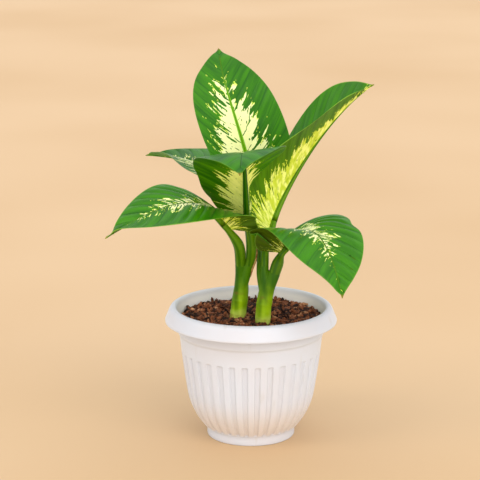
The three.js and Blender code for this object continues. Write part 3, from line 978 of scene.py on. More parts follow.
@dataclass
class Pot:
    """The moulded pot: a foot ring, a fluted wall, a smooth band and a rolled rim with a skirt.

    Outlines are [radius, height]. The belly is the outer line above the foot, and the band,
    the skirt, the rolled rim and the inside follow it. A pace is said in evenly. weld is the
    distance under which the shells' edges are joined.
    """

    foot_face: float = 41.3
    foot_radius: float = 42.5
    foot_height: float = 9.5
    floor: float = 3.0
    floor_radius: float = 38.5
    flutes: int = 34
    steps_per_flute: int = 24
    flute_depth: float = 1.9
    flute_edge: float = 0.95
    flute_reach: float = 0.3
    flute_bottom: float = 10.8
    flute_top: float = 85.5
    groove_share: float = 0.45
    drain_holes: int = 6
    drain_radius: float = 4.0
    drain_circle: float = 26.0
    drain_rings: int = 6
    drain_side_steps: int = 24
    belly_rows: int = 42
    inner_rows: int = 7
    weld: float = 0.002
    belly: tuple = (
        (43.6, 9.5), (45.6, 11), (53, 21.3), (59.5, 35.8), (63.2, 55), (66.6, 79.4), (67.4, 85.5),
        (69.2, 102.4),
    )
    belly_pace: tuple = ((0, 0), (0.14, 0.06), (0.46, 0.76), (0.84, 0.85), (1, 1))
    band: tuple = ((70.15, 102.7), (70.4, 103.3), (70.8, 112), (71.1, 116), (72.2, 122), (73.6, 125.0))
    skirt: tuple = ((75.2, 124.8), (76.4, 123.4), (77.5, 121), (78.8, 118), (80.7, 114.6))
    rim: tuple = (
        (81.6, 113.9), (82.6, 114.1), (83.0, 115), (82.5, 116.6), (81.4, 119.2), (80.2, 122.2), (79.1, 125),
        (77.7, 127.4), (75.9, 128.6), (74.0, 128.9), (72.7, 128.3), (72.0, 127), (71.5, 124.5), (71.0, 121.5),
    )
    inside: tuple = (
        (70.3, 118), (68.4, 106), (63.9, 85.5), (59.7, 55), (56, 35.8), (49.5, 21.3), (42.1, 12), (39.5, 5),
    )
    inside_pace: tuple = ((0, 0), (0.3, 0.1), (1, 1))

    @property
    def turns(self) -> int:
        """Points in one turn of the pot."""
        return self.flutes * self.steps_per_flute

    @property
    def foot(self) -> Array:
        """The foot ring's outline, from its underside up to the belly.

        Returns:
            [radius, height] rows.
        """
        radius, height = self.foot_radius, self.foot_height
        lower = [(self.foot_face, 0), (radius - 0.5, 0.4), (radius, 1.5), (radius, 5)]
        return np.array([*lower, (radius, height - 0.5), (radius + 0.4, height)])

    def profile(self) -> Array:
        """The pot's whole outline from the foot's underside, up the outside and down the inside.

        Returns:
            [radius, height] rows.
        """
        lines = [
            evenly(through(line, np.linspace(0, 1, samples)), rows, pace)
            for line, samples, rows, pace in (
                (self.belly, 400, self.belly_rows, self.belly_pace),
                (self.band, 120, 13, EVEN_PACE),
                (self.skirt, 80, 7, EVEN_PACE),
                (self.rim, 200, 24, EVEN_PACE),
                (self.inside, 200, 11, self.inside_pace),
            )
        ]
        return np.concatenate([self.foot, *lines, [(self.floor_radius, self.floor)]])

    def groove_depth(self, profile: Array) -> Array:
        """How far each point of the turned outline is pressed in by the flutes.

        A groove is a long slot with rounded corners: full depth inside, none beyond its half
        width. Only the outer wall between the foot and the band has them.

        Args:
            profile: [radius, height] rows.

        Returns:
            The depth for each outline point and each step of the turn.
        """
        radius, height = profile[:, :1], profile[:, 1:]
        phase = (np.arange(self.turns) / self.steps_per_flute) % 1
        pitch = 2 * np.pi * radius / self.flutes
        half = pitch * self.groove_share / 2
        aside = np.abs(phase - 0.5)[None] * pitch
        above = np.maximum(height - (self.flute_top - half), 0)
        below = np.maximum(self.flute_bottom + half - height, 0)
        away = (aside**4 + (above + below) ** 4) ** 0.25
        pressed = self.flute_depth * ease(0, self.flute_edge, half + self.flute_reach - away)
        outer = np.arange(len(profile))[:, None] < len(self.foot) + self.belly_rows
        return np.where(outer, pressed, 0)

    def drained_floor(self, radius: float, height: float) -> Shell:
        """A flat disc with round holes, facing down.

        Each hole has a pie slice of the disc. Points run from the hole's edge to the slice's
        edge in straight steps, and both edges have the same number of points.

        Args:
            radius: the disc's radius.
            height: where it lies.

        Returns:
            The disc, whose outer edge has the pot's own steps.
        """
        half = np.pi / self.drain_holes
        arc = np.linspace(-half, half, self.turns // self.drain_holes + 1)
        spoke = np.linspace(radius, 0, self.drain_side_steps + 1)[1:]
        edge = np.concatenate([polar(radius, arc), polar(spoke, half), polar(spoke[-2::-1], -half)])
        middle = np.array([self.drain_circle, 0])
        hole = middle + self.drain_radius * unit(edge - middle)
        rows = self.drain_rings + 1
        share = (np.linspace(0, 1, rows) ** 1.5)[:, None, None]
        part = hole * (1 - share) + edge * share
        turn = (round_angles(self.drain_holes) - np.pi / 2 + half)[:, None, None]
        places = np.stack(turned(part[..., 0], part[..., 1], turn), axis=-1)
        shift = np.arange(self.drain_holes)[:, None, None] * rows * len(edge)
        quads = grid_quads(rows, len(edge), around=True)[None] + shift
        return Shell(raised(places, height).reshape(-1, 3), quads.reshape(-1, 4))

    def drain_bores(self, low: Shell, high: Shell) -> Shell:
        """The walls of the drain holes.

        Args:
            low: the floor's under face.
            high: its upper face, with points in the same order.

        Returns:
            The walls, which face into the holes.
        """
        rows = self.drain_rings + 1
        ring = len(low.points) // self.drain_holes // rows
        first = (np.arange(self.drain_holes)[:, None] * rows * ring + np.arange(ring)).ravel()
        points = np.concatenate([low.points[first], high.points[first]])
        here = np.arange(len(first)).reshape(-1, ring)
        ahead = np.roll(here, -1, axis=1)
        quads = np.stack([here + len(first), ahead + len(first), ahead, here], axis=-1)
        return Shell(points, quads.reshape(-1, 4))

    def build(self) -> Piece:
        """Makes the pot's mesh and dresses it.

        Returns:
            The pot.
        """
        profile = self.profile()
        body = lathe(profile, self.turns, self.groove_depth(profile))
        lip = int(np.argmax(profile[:, 1]))
        # painted light: marks the inside of the pot below the lip, which takes the lighter painted colour
        inside = ease(lip, lip + self.inner_rows, np.arange(len(profile)))
        body.values["inside"] = np.repeat(inside, self.turns)
        low = self.drained_floor(self.foot_face, 0)
        high = self.drained_floor(self.floor_radius, self.floor)
        shells = [body, low, high.flipped(), self.drain_bores(low, high)]
        piece = make_piece("fluted_pot", shells, [PlasticFinish().material()], merge=self.weld)
        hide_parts("pot")
        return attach(piece, BODY)


# ------------------------------------------------------------------ the potting mix


def icosahedron() -> tuple[Array, Array]:
    """An icosahedron of radius one.

    Returns:
        Its twelve corners and its twenty faces.
    """
    golden = (1 + 5**0.5) / 2
    corners = [
        (-1, golden, 0), (1, golden, 0), (-1, -golden, 0), (1, -golden, 0), (0, -1, golden), (0, 1, golden),
        (0, -1, -golden), (0, 1, -golden), (golden, 0, -1), (golden, 0, 1), (-golden, 0, -1), (-golden, 0, 1),
    ]
    faces = [
        (0, 11, 5), (0, 5, 1), (0, 1, 7), (0, 7, 10), (0, 10, 11), (1, 5, 9), (5, 11, 4), (11, 10, 2),
        (10, 7, 6), (7, 1, 8), (3, 9, 4), (3, 4, 2), (3, 2, 6), (3, 6, 8), (3, 8, 9), (4, 9, 5),
        (2, 4, 11), (6, 2, 10), (8, 6, 7), (9, 8, 1),
    ]
    return np.array(corners) / np.hypot(1, golden), np.array(faces)


@dataclass
class PottingMix:
    """Chunky coir that fills the pot: a lumpy bed with loose chips and fibres on top.

    top is the height of the lumps and ground how far the ground between them lies lower.
    wall_line is the outline, as [radius, height], from the bed's edge down and in to the
    middle of its flat underside. cane_feet are kept clear of chips by cane_clear.
    painted_shade_tones paint shade on the bed: the tone of the deep ground, and how much
    lighter each millimetre above the top is, so the hollows are darker and the lump tops lighter.
    """

    top: float = 117.0
    ground: float = 1.1
    edge: float = 69.6
    rings: int = 110
    turns: int = 420
    lumps: int = 1500
    lumps_at_once: int = 60
    lump_stretch: float = 1.5
    chips: int = 1300
    chip_sizes: tuple = (1.1, 2.4)
    chip_spans: tuple = ((0.9, 2.1), (0.5, 0.9), (0.35, 0.8))
    fibres: int = 150
    fibre_rings: int = 6
    fibre_radius: float = 0.16
    seed: int = 5
    painted_shade_tones: tuple = (0.2, 0.26)
    cane_feet: tuple = ((-13, 0.5), (10.9, -17))
    cane_clear: float = 8.6
    wall_line: tuple = (
        (68.2, 108), (66.6, 100), (63.3, 85), (59.2, 55), (55.4, 35.8), (48.9, 21.3), (41.4, 12), (37.8, 3.3),
        (0.01, 3.3),
    )

    def __post_init__(self) -> None:
        """Draws the lumps of the surface: their places, radii, heights and turns."""
        self.random = np.random.default_rng(self.seed)
        away = self.edge * np.sqrt(self.random.random(self.lumps))
        self.lump_places = polar(away, self.random.random(self.lumps) * 2 * np.pi)
        self.lump_sizes = self.random.uniform(1.3, 3.6, self.lumps)
        self.lump_heights = self.lump_sizes * self.random.uniform(0.25, 0.75, self.lumps)
        self.lump_turns = self.random.random(self.lumps) * np.pi

    def height(self, x: Array, y: Array) -> Array:
        """Height of the bed: low mounds, plus the highest lump that covers each place.

        A lump is a cap, longer than wide by its stretch, that falls off with the square of the
        distance from its middle.

        Args:
            x: places across.
            y: places along.

        Returns:
            The height at each place.
        """
        mounds = 0.5 * (np.sin(x * 0.19 + 1) * np.cos(y * 0.23) + 0.6 * np.sin(x * 0.47 - y * 0.41))
        best = np.zeros_like(x)
        for k in range(0, self.lumps, self.lumps_at_once):
            part = slice(k, k + self.lumps_at_once)
            middle = self.lump_places[part]
            dx, dy = x[..., None] - middle[:, 0], y[..., None] - middle[:, 1]
            ahead, aside = turned(dx, dy, -self.lump_turns[part])
            away = np.hypot(ahead / self.lump_stretch, aside) / self.lump_sizes[part]
            cap = self.lump_heights[part] * np.clip(1 - away**2, 0, 1)
            best = np.maximum(best, cap.max(axis=-1))
        return self.top - self.ground + mounds + best

    def bed(self) -> Shell:
        """The closed body of the mix: rings of its top from the middle outwards, then its wall.

        Returns:
            The closed shell.
        """
        wall = np.array(self.wall_line)
        angle = round_angles(self.turns)
        flat = polar(np.linspace(wall[-1, 0], self.edge, self.rings)[:, None], angle)
        top = raised(flat, self.height(flat[..., 0], flat[..., 1]))
        side = raised(polar(wall[:, :1], angle), wall[:, 1:])
        points = np.concatenate([top, side])
        # painted shade: the bed's tone rises with height, darker in the hollows and lighter on lump tops
        low, rise = self.painted_shade_tones
        tone = np.concatenate([(top[..., 2] - self.top) * rise + low, np.full(side.shape[:2], low)])
        shell = capped(points.reshape(-1, 3), len(points), self.turns, 0, {"tone": tone.ravel()})
        return shell.flipped()

    def places(self, count: int, margin: float) -> Array:
        """Random places on the bed that keep clear of the canes and the pot's wall.

        Args:
            count: how many.
            margin: the least distance to the wall.

        Returns:
            [x, y] rows.
        """
        draws = self.random.random((count * 2, 2))
        spots = polar((self.edge - margin) * np.sqrt(draws[:, 0]), draws[:, 1] * 2 * np.pi)
        gaps = np.linalg.norm(spots[:, None] - np.array(self.cane_feet), axis=-1).min(axis=1)
        return spots[gaps > self.cane_clear][:count]

    def loose_chips(self) -> Shell:
        """Rough chips: icosahedra with moved corners, stretched, tilted and turned at random.

        Returns:
            One shell for them all.
        """
        corners, faces = icosahedron()
        spots = self.places(self.chips, 1.0)
        count = len(spots)
        least, more = self.chip_sizes
        size = least + more * self.random.random(count) ** 1.5
        spots = spots * np.minimum(1, (self.edge - 1.1 * size) / np.linalg.norm(spots, axis=1))[:, None]
        spans = [self.random.uniform(*span, count) for span in self.chip_spans]
        shape = size[:, None] * np.stack(spans, axis=1)
        points = corners * self.random.uniform(0.75, 1.2, (count, len(corners), 1)) * shape[:, None]
        turn, tilt = self.random.random(count) * 2 * np.pi, self.random.normal(0, 0.65, count)
        x, z = turned(points[..., 0], points[..., 2], tilt[:, None])
        x, y = turned(x, points[..., 1], turn[:, None])
        lift = self.height(spots[:, 0], spots[:, 1]) + 0.15 * size
        places = np.stack([x + spots[:, :1], y + spots[:, 1:], z + lift[:, None]], axis=-1)
        shift = np.arange(count)[:, None, None] * len(corners)
        tone = np.repeat(self.random.beta(1.3, 2.4, count), len(corners))
        triangles = (faces + shift).reshape(-1, 3)
        return Shell(places.reshape(-1, 3), np.zeros((0, 4), int), triangles, {"tone": tone})

    def loose_fibres(self) -> list[Shell]:
        """Short bent fibres that lie over the lumps, each a thin four-sided tube.

        Returns:
            One shell for each fibre.
        """
        strands = []
        for x, y in self.places(self.fibres, 10):
            way = self.random.random() * 2 * np.pi
            bend = self.random.normal(0, 0.06)
            along = np.linspace(-1, 1, self.fibre_rings) * self.random.uniform(2.5, 6.5)
            angle = way + bend * along
            px, py = x + along * np.cos(angle), y + along * np.sin(angle)
            lift = self.height(px, py) + 0.3
            line = np.stack([px, py, (lift + lift.mean()) / 2 + 0.3], axis=1)
            strand = tube(line, np.full(self.fibre_rings, self.fibre_radius), 4)
            strand.values = {"tone": np.full(len(strand.points), 0.55 + 0.4 * self.random.random())}
            strands.append(strand)
        return strands

    def build(self) -> list[Piece]:
        """Makes the bed, the chips and the fibres, and dresses them.

        Returns:
            The three pieces.
        """
        finish = CoirFinish().material()
        bed = make_piece("coir_bed", [self.bed()], [finish])
        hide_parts("potting_mix")
        chips = make_piece("coir_chips", [self.loose_chips()], [finish], smooth=False)
        fibres = make_piece("coir_fibres", self.loose_fibres(), [finish])
        for piece in (bed, chips, fibres):
            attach(piece, BODY)
        return [bed, chips, fibres]


# ------------------------------------------------------------------ the leaves


@dataclass
class Half:
    """One half of a blade: how it is held and how far its pale zone reaches.

    fold is the lift of the half above the blade's plane in degrees at base, middle and tip;
    curl its further bend at base and tip; narrow how much its lobe is drawn in. pale lists
    [share of the margin, millimetres out from the midrib]; ribs is the height of its side veins.
    slim is [share of the width lost, where along the midrib, over what share of it].
    """

    fold: tuple
    curl: tuple
    narrow: float
    pale: tuple
    ribs: float = 0.3
    slim: tuple = (0, 0, 1)


@dataclass
class Blade:
    """What every blade shares: its outline, its thickness and the flat grid of its side veins.

    The outline lists [share along the midrib, share of the half width] from base to tip, and
    slimness is the half width as a share of the length. lobe is where along the midrib a lobe
    ends, and over what share a narrow one is drawn in. vein_rise is the slope at which veins
    leave the midrib at the base, and what it gains up to the tip; vein_bow is how far they bow
    forward. end_rate is one over the share of the rows at an end where the relief fades.
    ripple_phases shift the margin's ripple on the left and on the right. groove and keel are
    the depth or height, and the width in widths of the rib.
    """

    outline: tuple = (
        (-0.05, 0.2), (-0.085, 0.47), (-0.05, 0.76), (0.06, 0.94), (0.22, 1), (0.4, 0.98),
        (0.58, 0.85), (0.74, 0.62), (0.86, 0.35), (0.93, 0.16), (0.967, 0.06), (1, 0),
    )
    slimness: float = 0.26
    lobe: tuple = (0.28, 0.33)
    thickness: float = 0.75
    edge_thickness: float = 0.4
    edge_bulge: float = 0.22
    rows: int = 260
    columns: int = 44
    crowding: float = 0.75
    end_rate: float = 18
    ripple: float = 0.8
    ripple_rate: float = 24.3
    ripple_phases: tuple = (0.8, 2.6)
    veins: float = 15.5
    vein_rise: tuple = (0.12, 0.3)
    vein_bow: float = 0.42
    root_blur: float = 0.045
    root_spread: float = 0.04
    rib_base: float = 3.3
    rib_end: float = 0.6
    rib_reach: float = 0.93
    rib_sunk: float = 0.62
    rib_stripe: float = 2.7
    groove: tuple = (0.45, 1.4)
    keel: tuple = (0.9, 1.7)

    def __post_init__(self) -> None:
        """Lays the grid of veins out flat: a row for each vein, a column for each step out.

        share is the rows' way along the margin, arc the same by length, and out the columns'
        way along a vein, crowded towards the midrib and the margin. A vein leaves the midrib at
        its root, heads out and forward, and ends on the margin, as a quadratic curve: s and t
        are its places as shares of the midrib's length and of the half width.
        """
        self.share = np.linspace(0, 1, self.rows + 1)
        end_s, end_t = through(self.outline, self.share).T
        step = np.hypot(np.diff(end_s, prepend=end_s[0]), self.slimness * np.diff(end_t, prepend=end_t[0]))
        self.arc = np.cumsum(step) / step.sum()
        ahead = np.clip(end_s, 0, 1)
        rise = self.vein_rise[0] + self.vein_rise[1] * ahead
        soft = self.root_blur * np.log1p(np.exp((end_s - rise * end_t) / self.root_blur))
        root = soft + self.root_spread * self.arc * (1 - ahead)
        root = np.minimum(root * np.clip(self.share * self.end_rate, 0, 1), 1)[:, None]
        end_s, end_t = end_s[:, None], end_t[:, None]
        even = np.linspace(0, 1, self.columns + 1)
        b = (even - self.crowding * np.sin(2 * np.pi * even) / (2 * np.pi))[None]
        self.out = b
        self.s = bow(b, root, root + self.vein_bow * (end_s - root), end_s)
        self.t = 1.16 * b * (1 - b) * end_t + b**2 * end_t


BLADE = Blade()


@dataclass
class Leaf:
    """One leaf: its free petiole, its midrib and its two half blades.

    node is the solid that it replaces, and stem the one that carries it. The midrib has four
    control points, facing the upper side's direction at base, middle and tip, and stalk the
    petiole's points from inside the cane up to the blade. It comes out of its sheath at the
    height cut, starts as far below that as sheathed says, and is thicker by stalk_foot at its
    lowest point. tone is how light the blade's greens are, and shade how far painted shade
    darkens its under side towards olive.
    fine, feather, retreat and pale_edge shape the pale zone: how small its pattern is, how far
    it breaks up, how far the under side's zone draws back, and how light the margins are.
    rib_width, rib_light and keel_tone are the midrib's, above and below.
    """

    name: str
    node: str
    stem: str
    midrib: tuple
    facing: tuple
    half_width: float
    left: Half
    right: Half
    stalk: tuple
    cut: float = 172.0
    sheathed: float = 2.5
    stalk_radius: float = 3.9
    stalk_foot: float = 0.6
    tone: float = 0.5
    fine: float = 1.0
    shade: float = 0.0
    retreat: float = 0.0
    feather: float = 6.0
    rib_width: float = 1.0
    rib_light: float = 1.0
    pale_edge: float = 0.5
    keel_tone: float = 0.3
    stalk_tone: float = 0.3
    stalk_sides: int = 24
    seed: float = 1.0

    def __post_init__(self) -> None:
        """Measures the midrib, a cubic curve with four control points, by its own length."""
        w = np.linspace(0, 1, 401)[:, None]
        shares = ((1 - w) ** 3, 3 * w * (1 - w) ** 2, 3 * w**2 * (1 - w), w**3)
        self.line = sum(share * point for share, point in zip(shares, np.array(self.midrib, float)))
        self.slope = unit(np.gradient(self.line, axis=0))
        length = walked(self.line)
        self.length = length[-1]
        self.walked = length / self.length

    def half(self, side: Side) -> Half:
        """The half blade on a side."""
        return self.left if side is Side.LEFT else self.right

    def frame(self, s: Array) -> tuple[Array, Array, Array]:
        """Centre, upper-side normal and across direction of the midrib.

        Args:
            s: shares of the midrib's length; below 0 it runs on straight.

        Returns:
            The three vectors at each share.
        """
        inside = np.clip(s, 0, 1)
        centre = np.stack([np.interp(inside, self.walked, c) for c in self.line.T], axis=-1)
        tangent = unit(np.stack([np.interp(inside, self.walked, c) for c in self.slope.T], axis=-1))
        centre = centre + tangent * ((s - inside) * self.length)[..., None]
        facing = bow(inside[..., None], *np.array(self.facing, float))
        normal = unit(facing - tangent * (facing * tangent).sum(-1, keepdims=True))
        return centre, normal, np.cross(tangent, normal)

    def surface(self, s: Array, t: Array, side: Side) -> Array:
        """Points of the blade.

        A point stands out from the midrib by its share of the half width, along a circular arc
        that leaves at the fold's angle and bends by the curl.

        Args:
            s: shares along the midrib.
            t: shares out from it.
            side: which half.

        Returns:
            The points.
        """
        half = self.half(side)
        centre, normal, across = self.frame(np.where(s < 0, s * (1 - half.narrow), s))
        inside = np.clip(s, 0, 1)
        lobe = np.clip((BLADE.lobe[0] - s) / BLADE.lobe[1], 0, 1) ** 1.3
        lost, middle, spread = half.slim
        out = t * (1 - half.narrow * lobe) * (1 - lost * np.exp(-(((inside - middle) / spread) ** 2)))
        fold = bow(inside, *np.radians(half.fold))
        bend = np.radians(half.curl[0] + (half.curl[1] - half.curl[0]) * inside) * out / 2
        chord = np.sinc(bend / np.pi) * out * self.half_width
        angle = fold + bend
        sideways = (side.value * chord * np.cos(angle))[..., None] * across
        return centre + sideways + (chord * np.sin(angle))[..., None] * normal

    def half_grid(self, side: Side) -> dict[str, Array]:
        """One half of the blade on the grid of veins.

        The tissue swells between the veins, ripples at the margin, and has a groove over the
        midrib; the keel is the midrib's swelling below.

        Args:
            side: which half.

        Returns:
            The points, the relief and the maps that the finishes read, each by row and column.
        """
        s, t, out = BLADE.s, BLADE.t, BLADE.out
        half = self.half(side)
        points = self.surface(s, t, side)
        gaps = np.linalg.norm(np.diff(points, axis=1), axis=-1)
        along = np.concatenate([np.zeros((len(s), 1)), np.cumsum(gaps, axis=1)], axis=1)
        pale = np.interp(BLADE.arc, *np.array(half.pale).T)[:, None]
        base = BLADE.rib_base * BLADE.rib_sunk
        rib = BLADE.rib_end + (base - BLADE.rib_end) * (1 - np.clip(s, 0, 1)) ** 1.2
        aside = t * self.half_width
        fade = np.clip((1 - BLADE.share) * BLADE.end_rate, 0, 1)[:, None]
        phase = dict(zip(Side, BLADE.ripple_phases))[side]
        ripple = BLADE.ripple * out**3 * np.sin(BLADE.share * BLADE.ripple_rate + phase)[:, None] * fade
        swell = 2 * np.abs(np.sin(np.pi * BLADE.veins * BLADE.arc))[:, None] ** 0.75 - 1.3
        relief = half.ribs * swell * ease(0.03, 0.25, out) * (1 - ease(0.75, 1, out)) * fade
        relief = relief - BLADE.groove[0] * np.exp(-((aside / (BLADE.groove[1] * rib)) ** 2))
        thick = BLADE.thickness + (BLADE.edge_thickness - BLADE.thickness) * ease(0.5, 1, out)
        stripe = BLADE.rib_stripe * np.clip(1 - s / BLADE.rib_reach, 0.08, 1) * self.rib_width
        length = BLADE.arc[:, None] * BLADE.veins * VEIN_GAP
        seed = self.seed * 11 + side.value * 3.7
        to_tip = np.clip(1 - s, 0, 2) * self.length
        return {
            "points": points,
            "lift": ripple + relief,
            "thick": thick + 0 * s,
            "keel": BLADE.keel[0] * rib * np.exp(-((aside / (BLADE.keel[1] * rib)) ** 2)),
            "vein_map": np.stack([length + 0 * s, along, seed + 0 * s], axis=-1),
            "pale_zone": pale - along,
            "rib_zone": stripe - aside,
            "rim_map": np.stack([along[:, -1:] - along, to_tip, self.pale_edge + 0 * s], axis=-1),
        }

    def blade(self) -> list[Shell]:
        """The blade's upper and under sides and its rounded margin.

        Returns:
            The three shells, in that order.
        """
        left, right = self.half_grid(Side.LEFT), self.half_grid(Side.RIGHT)
        grid = {key: np.concatenate([left[key][:, :0:-1], right[key]], axis=1) for key in left}
        points = grid["points"]
        rows, columns = points.shape[:2]
        rightward, up = np.gradient(points, axis=1), np.gradient(points, axis=0)
        normal = np.cross(rightward, up)
        normal[-1] = normal[-2, columns // 2]
        normal = unit(normal)
        half = (grid["thick"] / 2)[..., None]
        upper = points + normal * (grid["lift"][..., None] + half)
        lower = points + normal * ((0.6 * grid["lift"] - grid["keel"] * 0.5)[..., None] - half)
        tip = upper[-1, columns // 2]
        upper[-1] = tip
        lower[-1] = tip - normal[-1, columns // 2] * BLADE.edge_thickness
        count = rows * columns
        values = {key: grid[key].reshape(count, 3) for key in ("vein_map", "rim_map")}
        values |= {key: grid[key].ravel() for key in ("pale_zone", "rib_zone")}
        values["leaf_kind"] = np.tile([self.tone, self.feather, self.rib_light], (count, 1))
        values["leaf_detail"] = np.tile([self.fine, self.shade, self.retreat], (count, 1))
        quads = grid_quads(rows, columns)
        top = Shell(upper.reshape(-1, 3), quads, values=values, finish=0)
        under = Shell(lower.reshape(-1, 3), quads[:, ::-1], values=values, finish=1)
        return [top, under, self.margin_strip(upper, lower, values)]

    def margin_strip(self, upper: Array, lower: Array, values: dict[str, Array]) -> Shell:
        """The rounded edge between the two sides of the blade.

        Three rows of points follow the whole margin: the upper side's edge, the middle pushed
        outwards, and the under side's edge.

        Args:
            upper: the upper side's grid of points.
            lower: the under side's.
            values: the grid's values, in row order.

        Returns:
            The strip.
        """
        rows, columns = upper.shape[:2]
        number = np.arange(rows * columns).reshape(rows, columns)
        loop = np.concatenate([number[0, :-1], number[:-1, -1], number[-1, ::-1][:-1], number[::-1, 0][:-1]])
        a, c = upper.reshape(-1, 3)[loop], lower.reshape(-1, 3)[loop]
        i, j = np.clip(np.stack(np.divmod(loop, columns), axis=1), [2, 2], [rows - 3, columns - 3]).T
        outward = unit((a + c) / 2 - (upper[i, j] + lower[i, j]) / 2)
        middle = (a + c) / 2 + outward * BLADE.edge_bulge
        count = len(loop)
        here = np.arange(count)
        ahead = (here + 1) % count
        quads = np.stack([ahead, here, here + count, ahead + count], axis=1)
        taken = {key: np.concatenate([value[loop]] * 3) for key, value in values.items()}
        return Shell(np.concatenate([a, middle, c]), np.concatenate([quads, quads + count]), values=taken)

    def stalk_line(self) -> tuple[Array, Array]:
        """Centres and radii of the petiole and, past the blade's base, of the midrib.

        The midrib hangs under the blade, so that only a little of it stands above.

        Returns:
            The centres and the radii.
        """
        s = np.concatenate([[0, 0.06], np.linspace(0.1, BLADE.rib_reach, 40)])
        centre, normal, _ = self.frame(s)
        radius = BLADE.rib_end + (BLADE.rib_base - BLADE.rib_end) * (1 - s) ** 1.5
        under = centre - normal * (radius * 0.95 - 0.15)[:, None]
        stalk = np.array(self.stalk, float)
        line = np.concatenate([stalk, under[:2]])
        thick = np.full(len(stalk), self.stalk_radius)
        thick[0] += self.stalk_foot
        radii = np.concatenate([thick, radius[:2]])
        lower = centripetal(np.column_stack([line, radii]), 60, keep=len(line) - 1)
        return np.concatenate([lower[:, :3], under[1:]]), np.concatenate([lower[:, 3], radius[1:]])

    def free_stalk(self) -> Shell:
        """The petiole above its sheath, and the midrib under the blade, as one tapered tube.

        Returns:
            The tube.
        """
        centres, radii = self.stalk_line()
        keep = centres[:, 2] > self.cut - self.sheathed
        keep[np.argmax(keep):] = True
        shell = tube(centres[keep], radii[keep], self.stalk_sides, finish=2)
        along = np.arange(len(shell.points)) // self.stalk_sides / keep.sum()
        shell.values["tone"] = self.stalk_tone + (self.keel_tone - self.stalk_tone) * ease(0.25, 0.5, along)
        return shell

    def build(self, finishes: list[Material]) -> Piece:
        """Makes the leaf's mesh and dresses it.

        Args:
            finishes: the upper side's, the under side's and the stalk's materials.

        Returns:
            The leaf.
        """
        piece = make_piece(self.name, [*self.blade(), self.free_stalk()], finishes, merge=0.0005)
        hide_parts(self.node)
        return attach(piece, BODY)


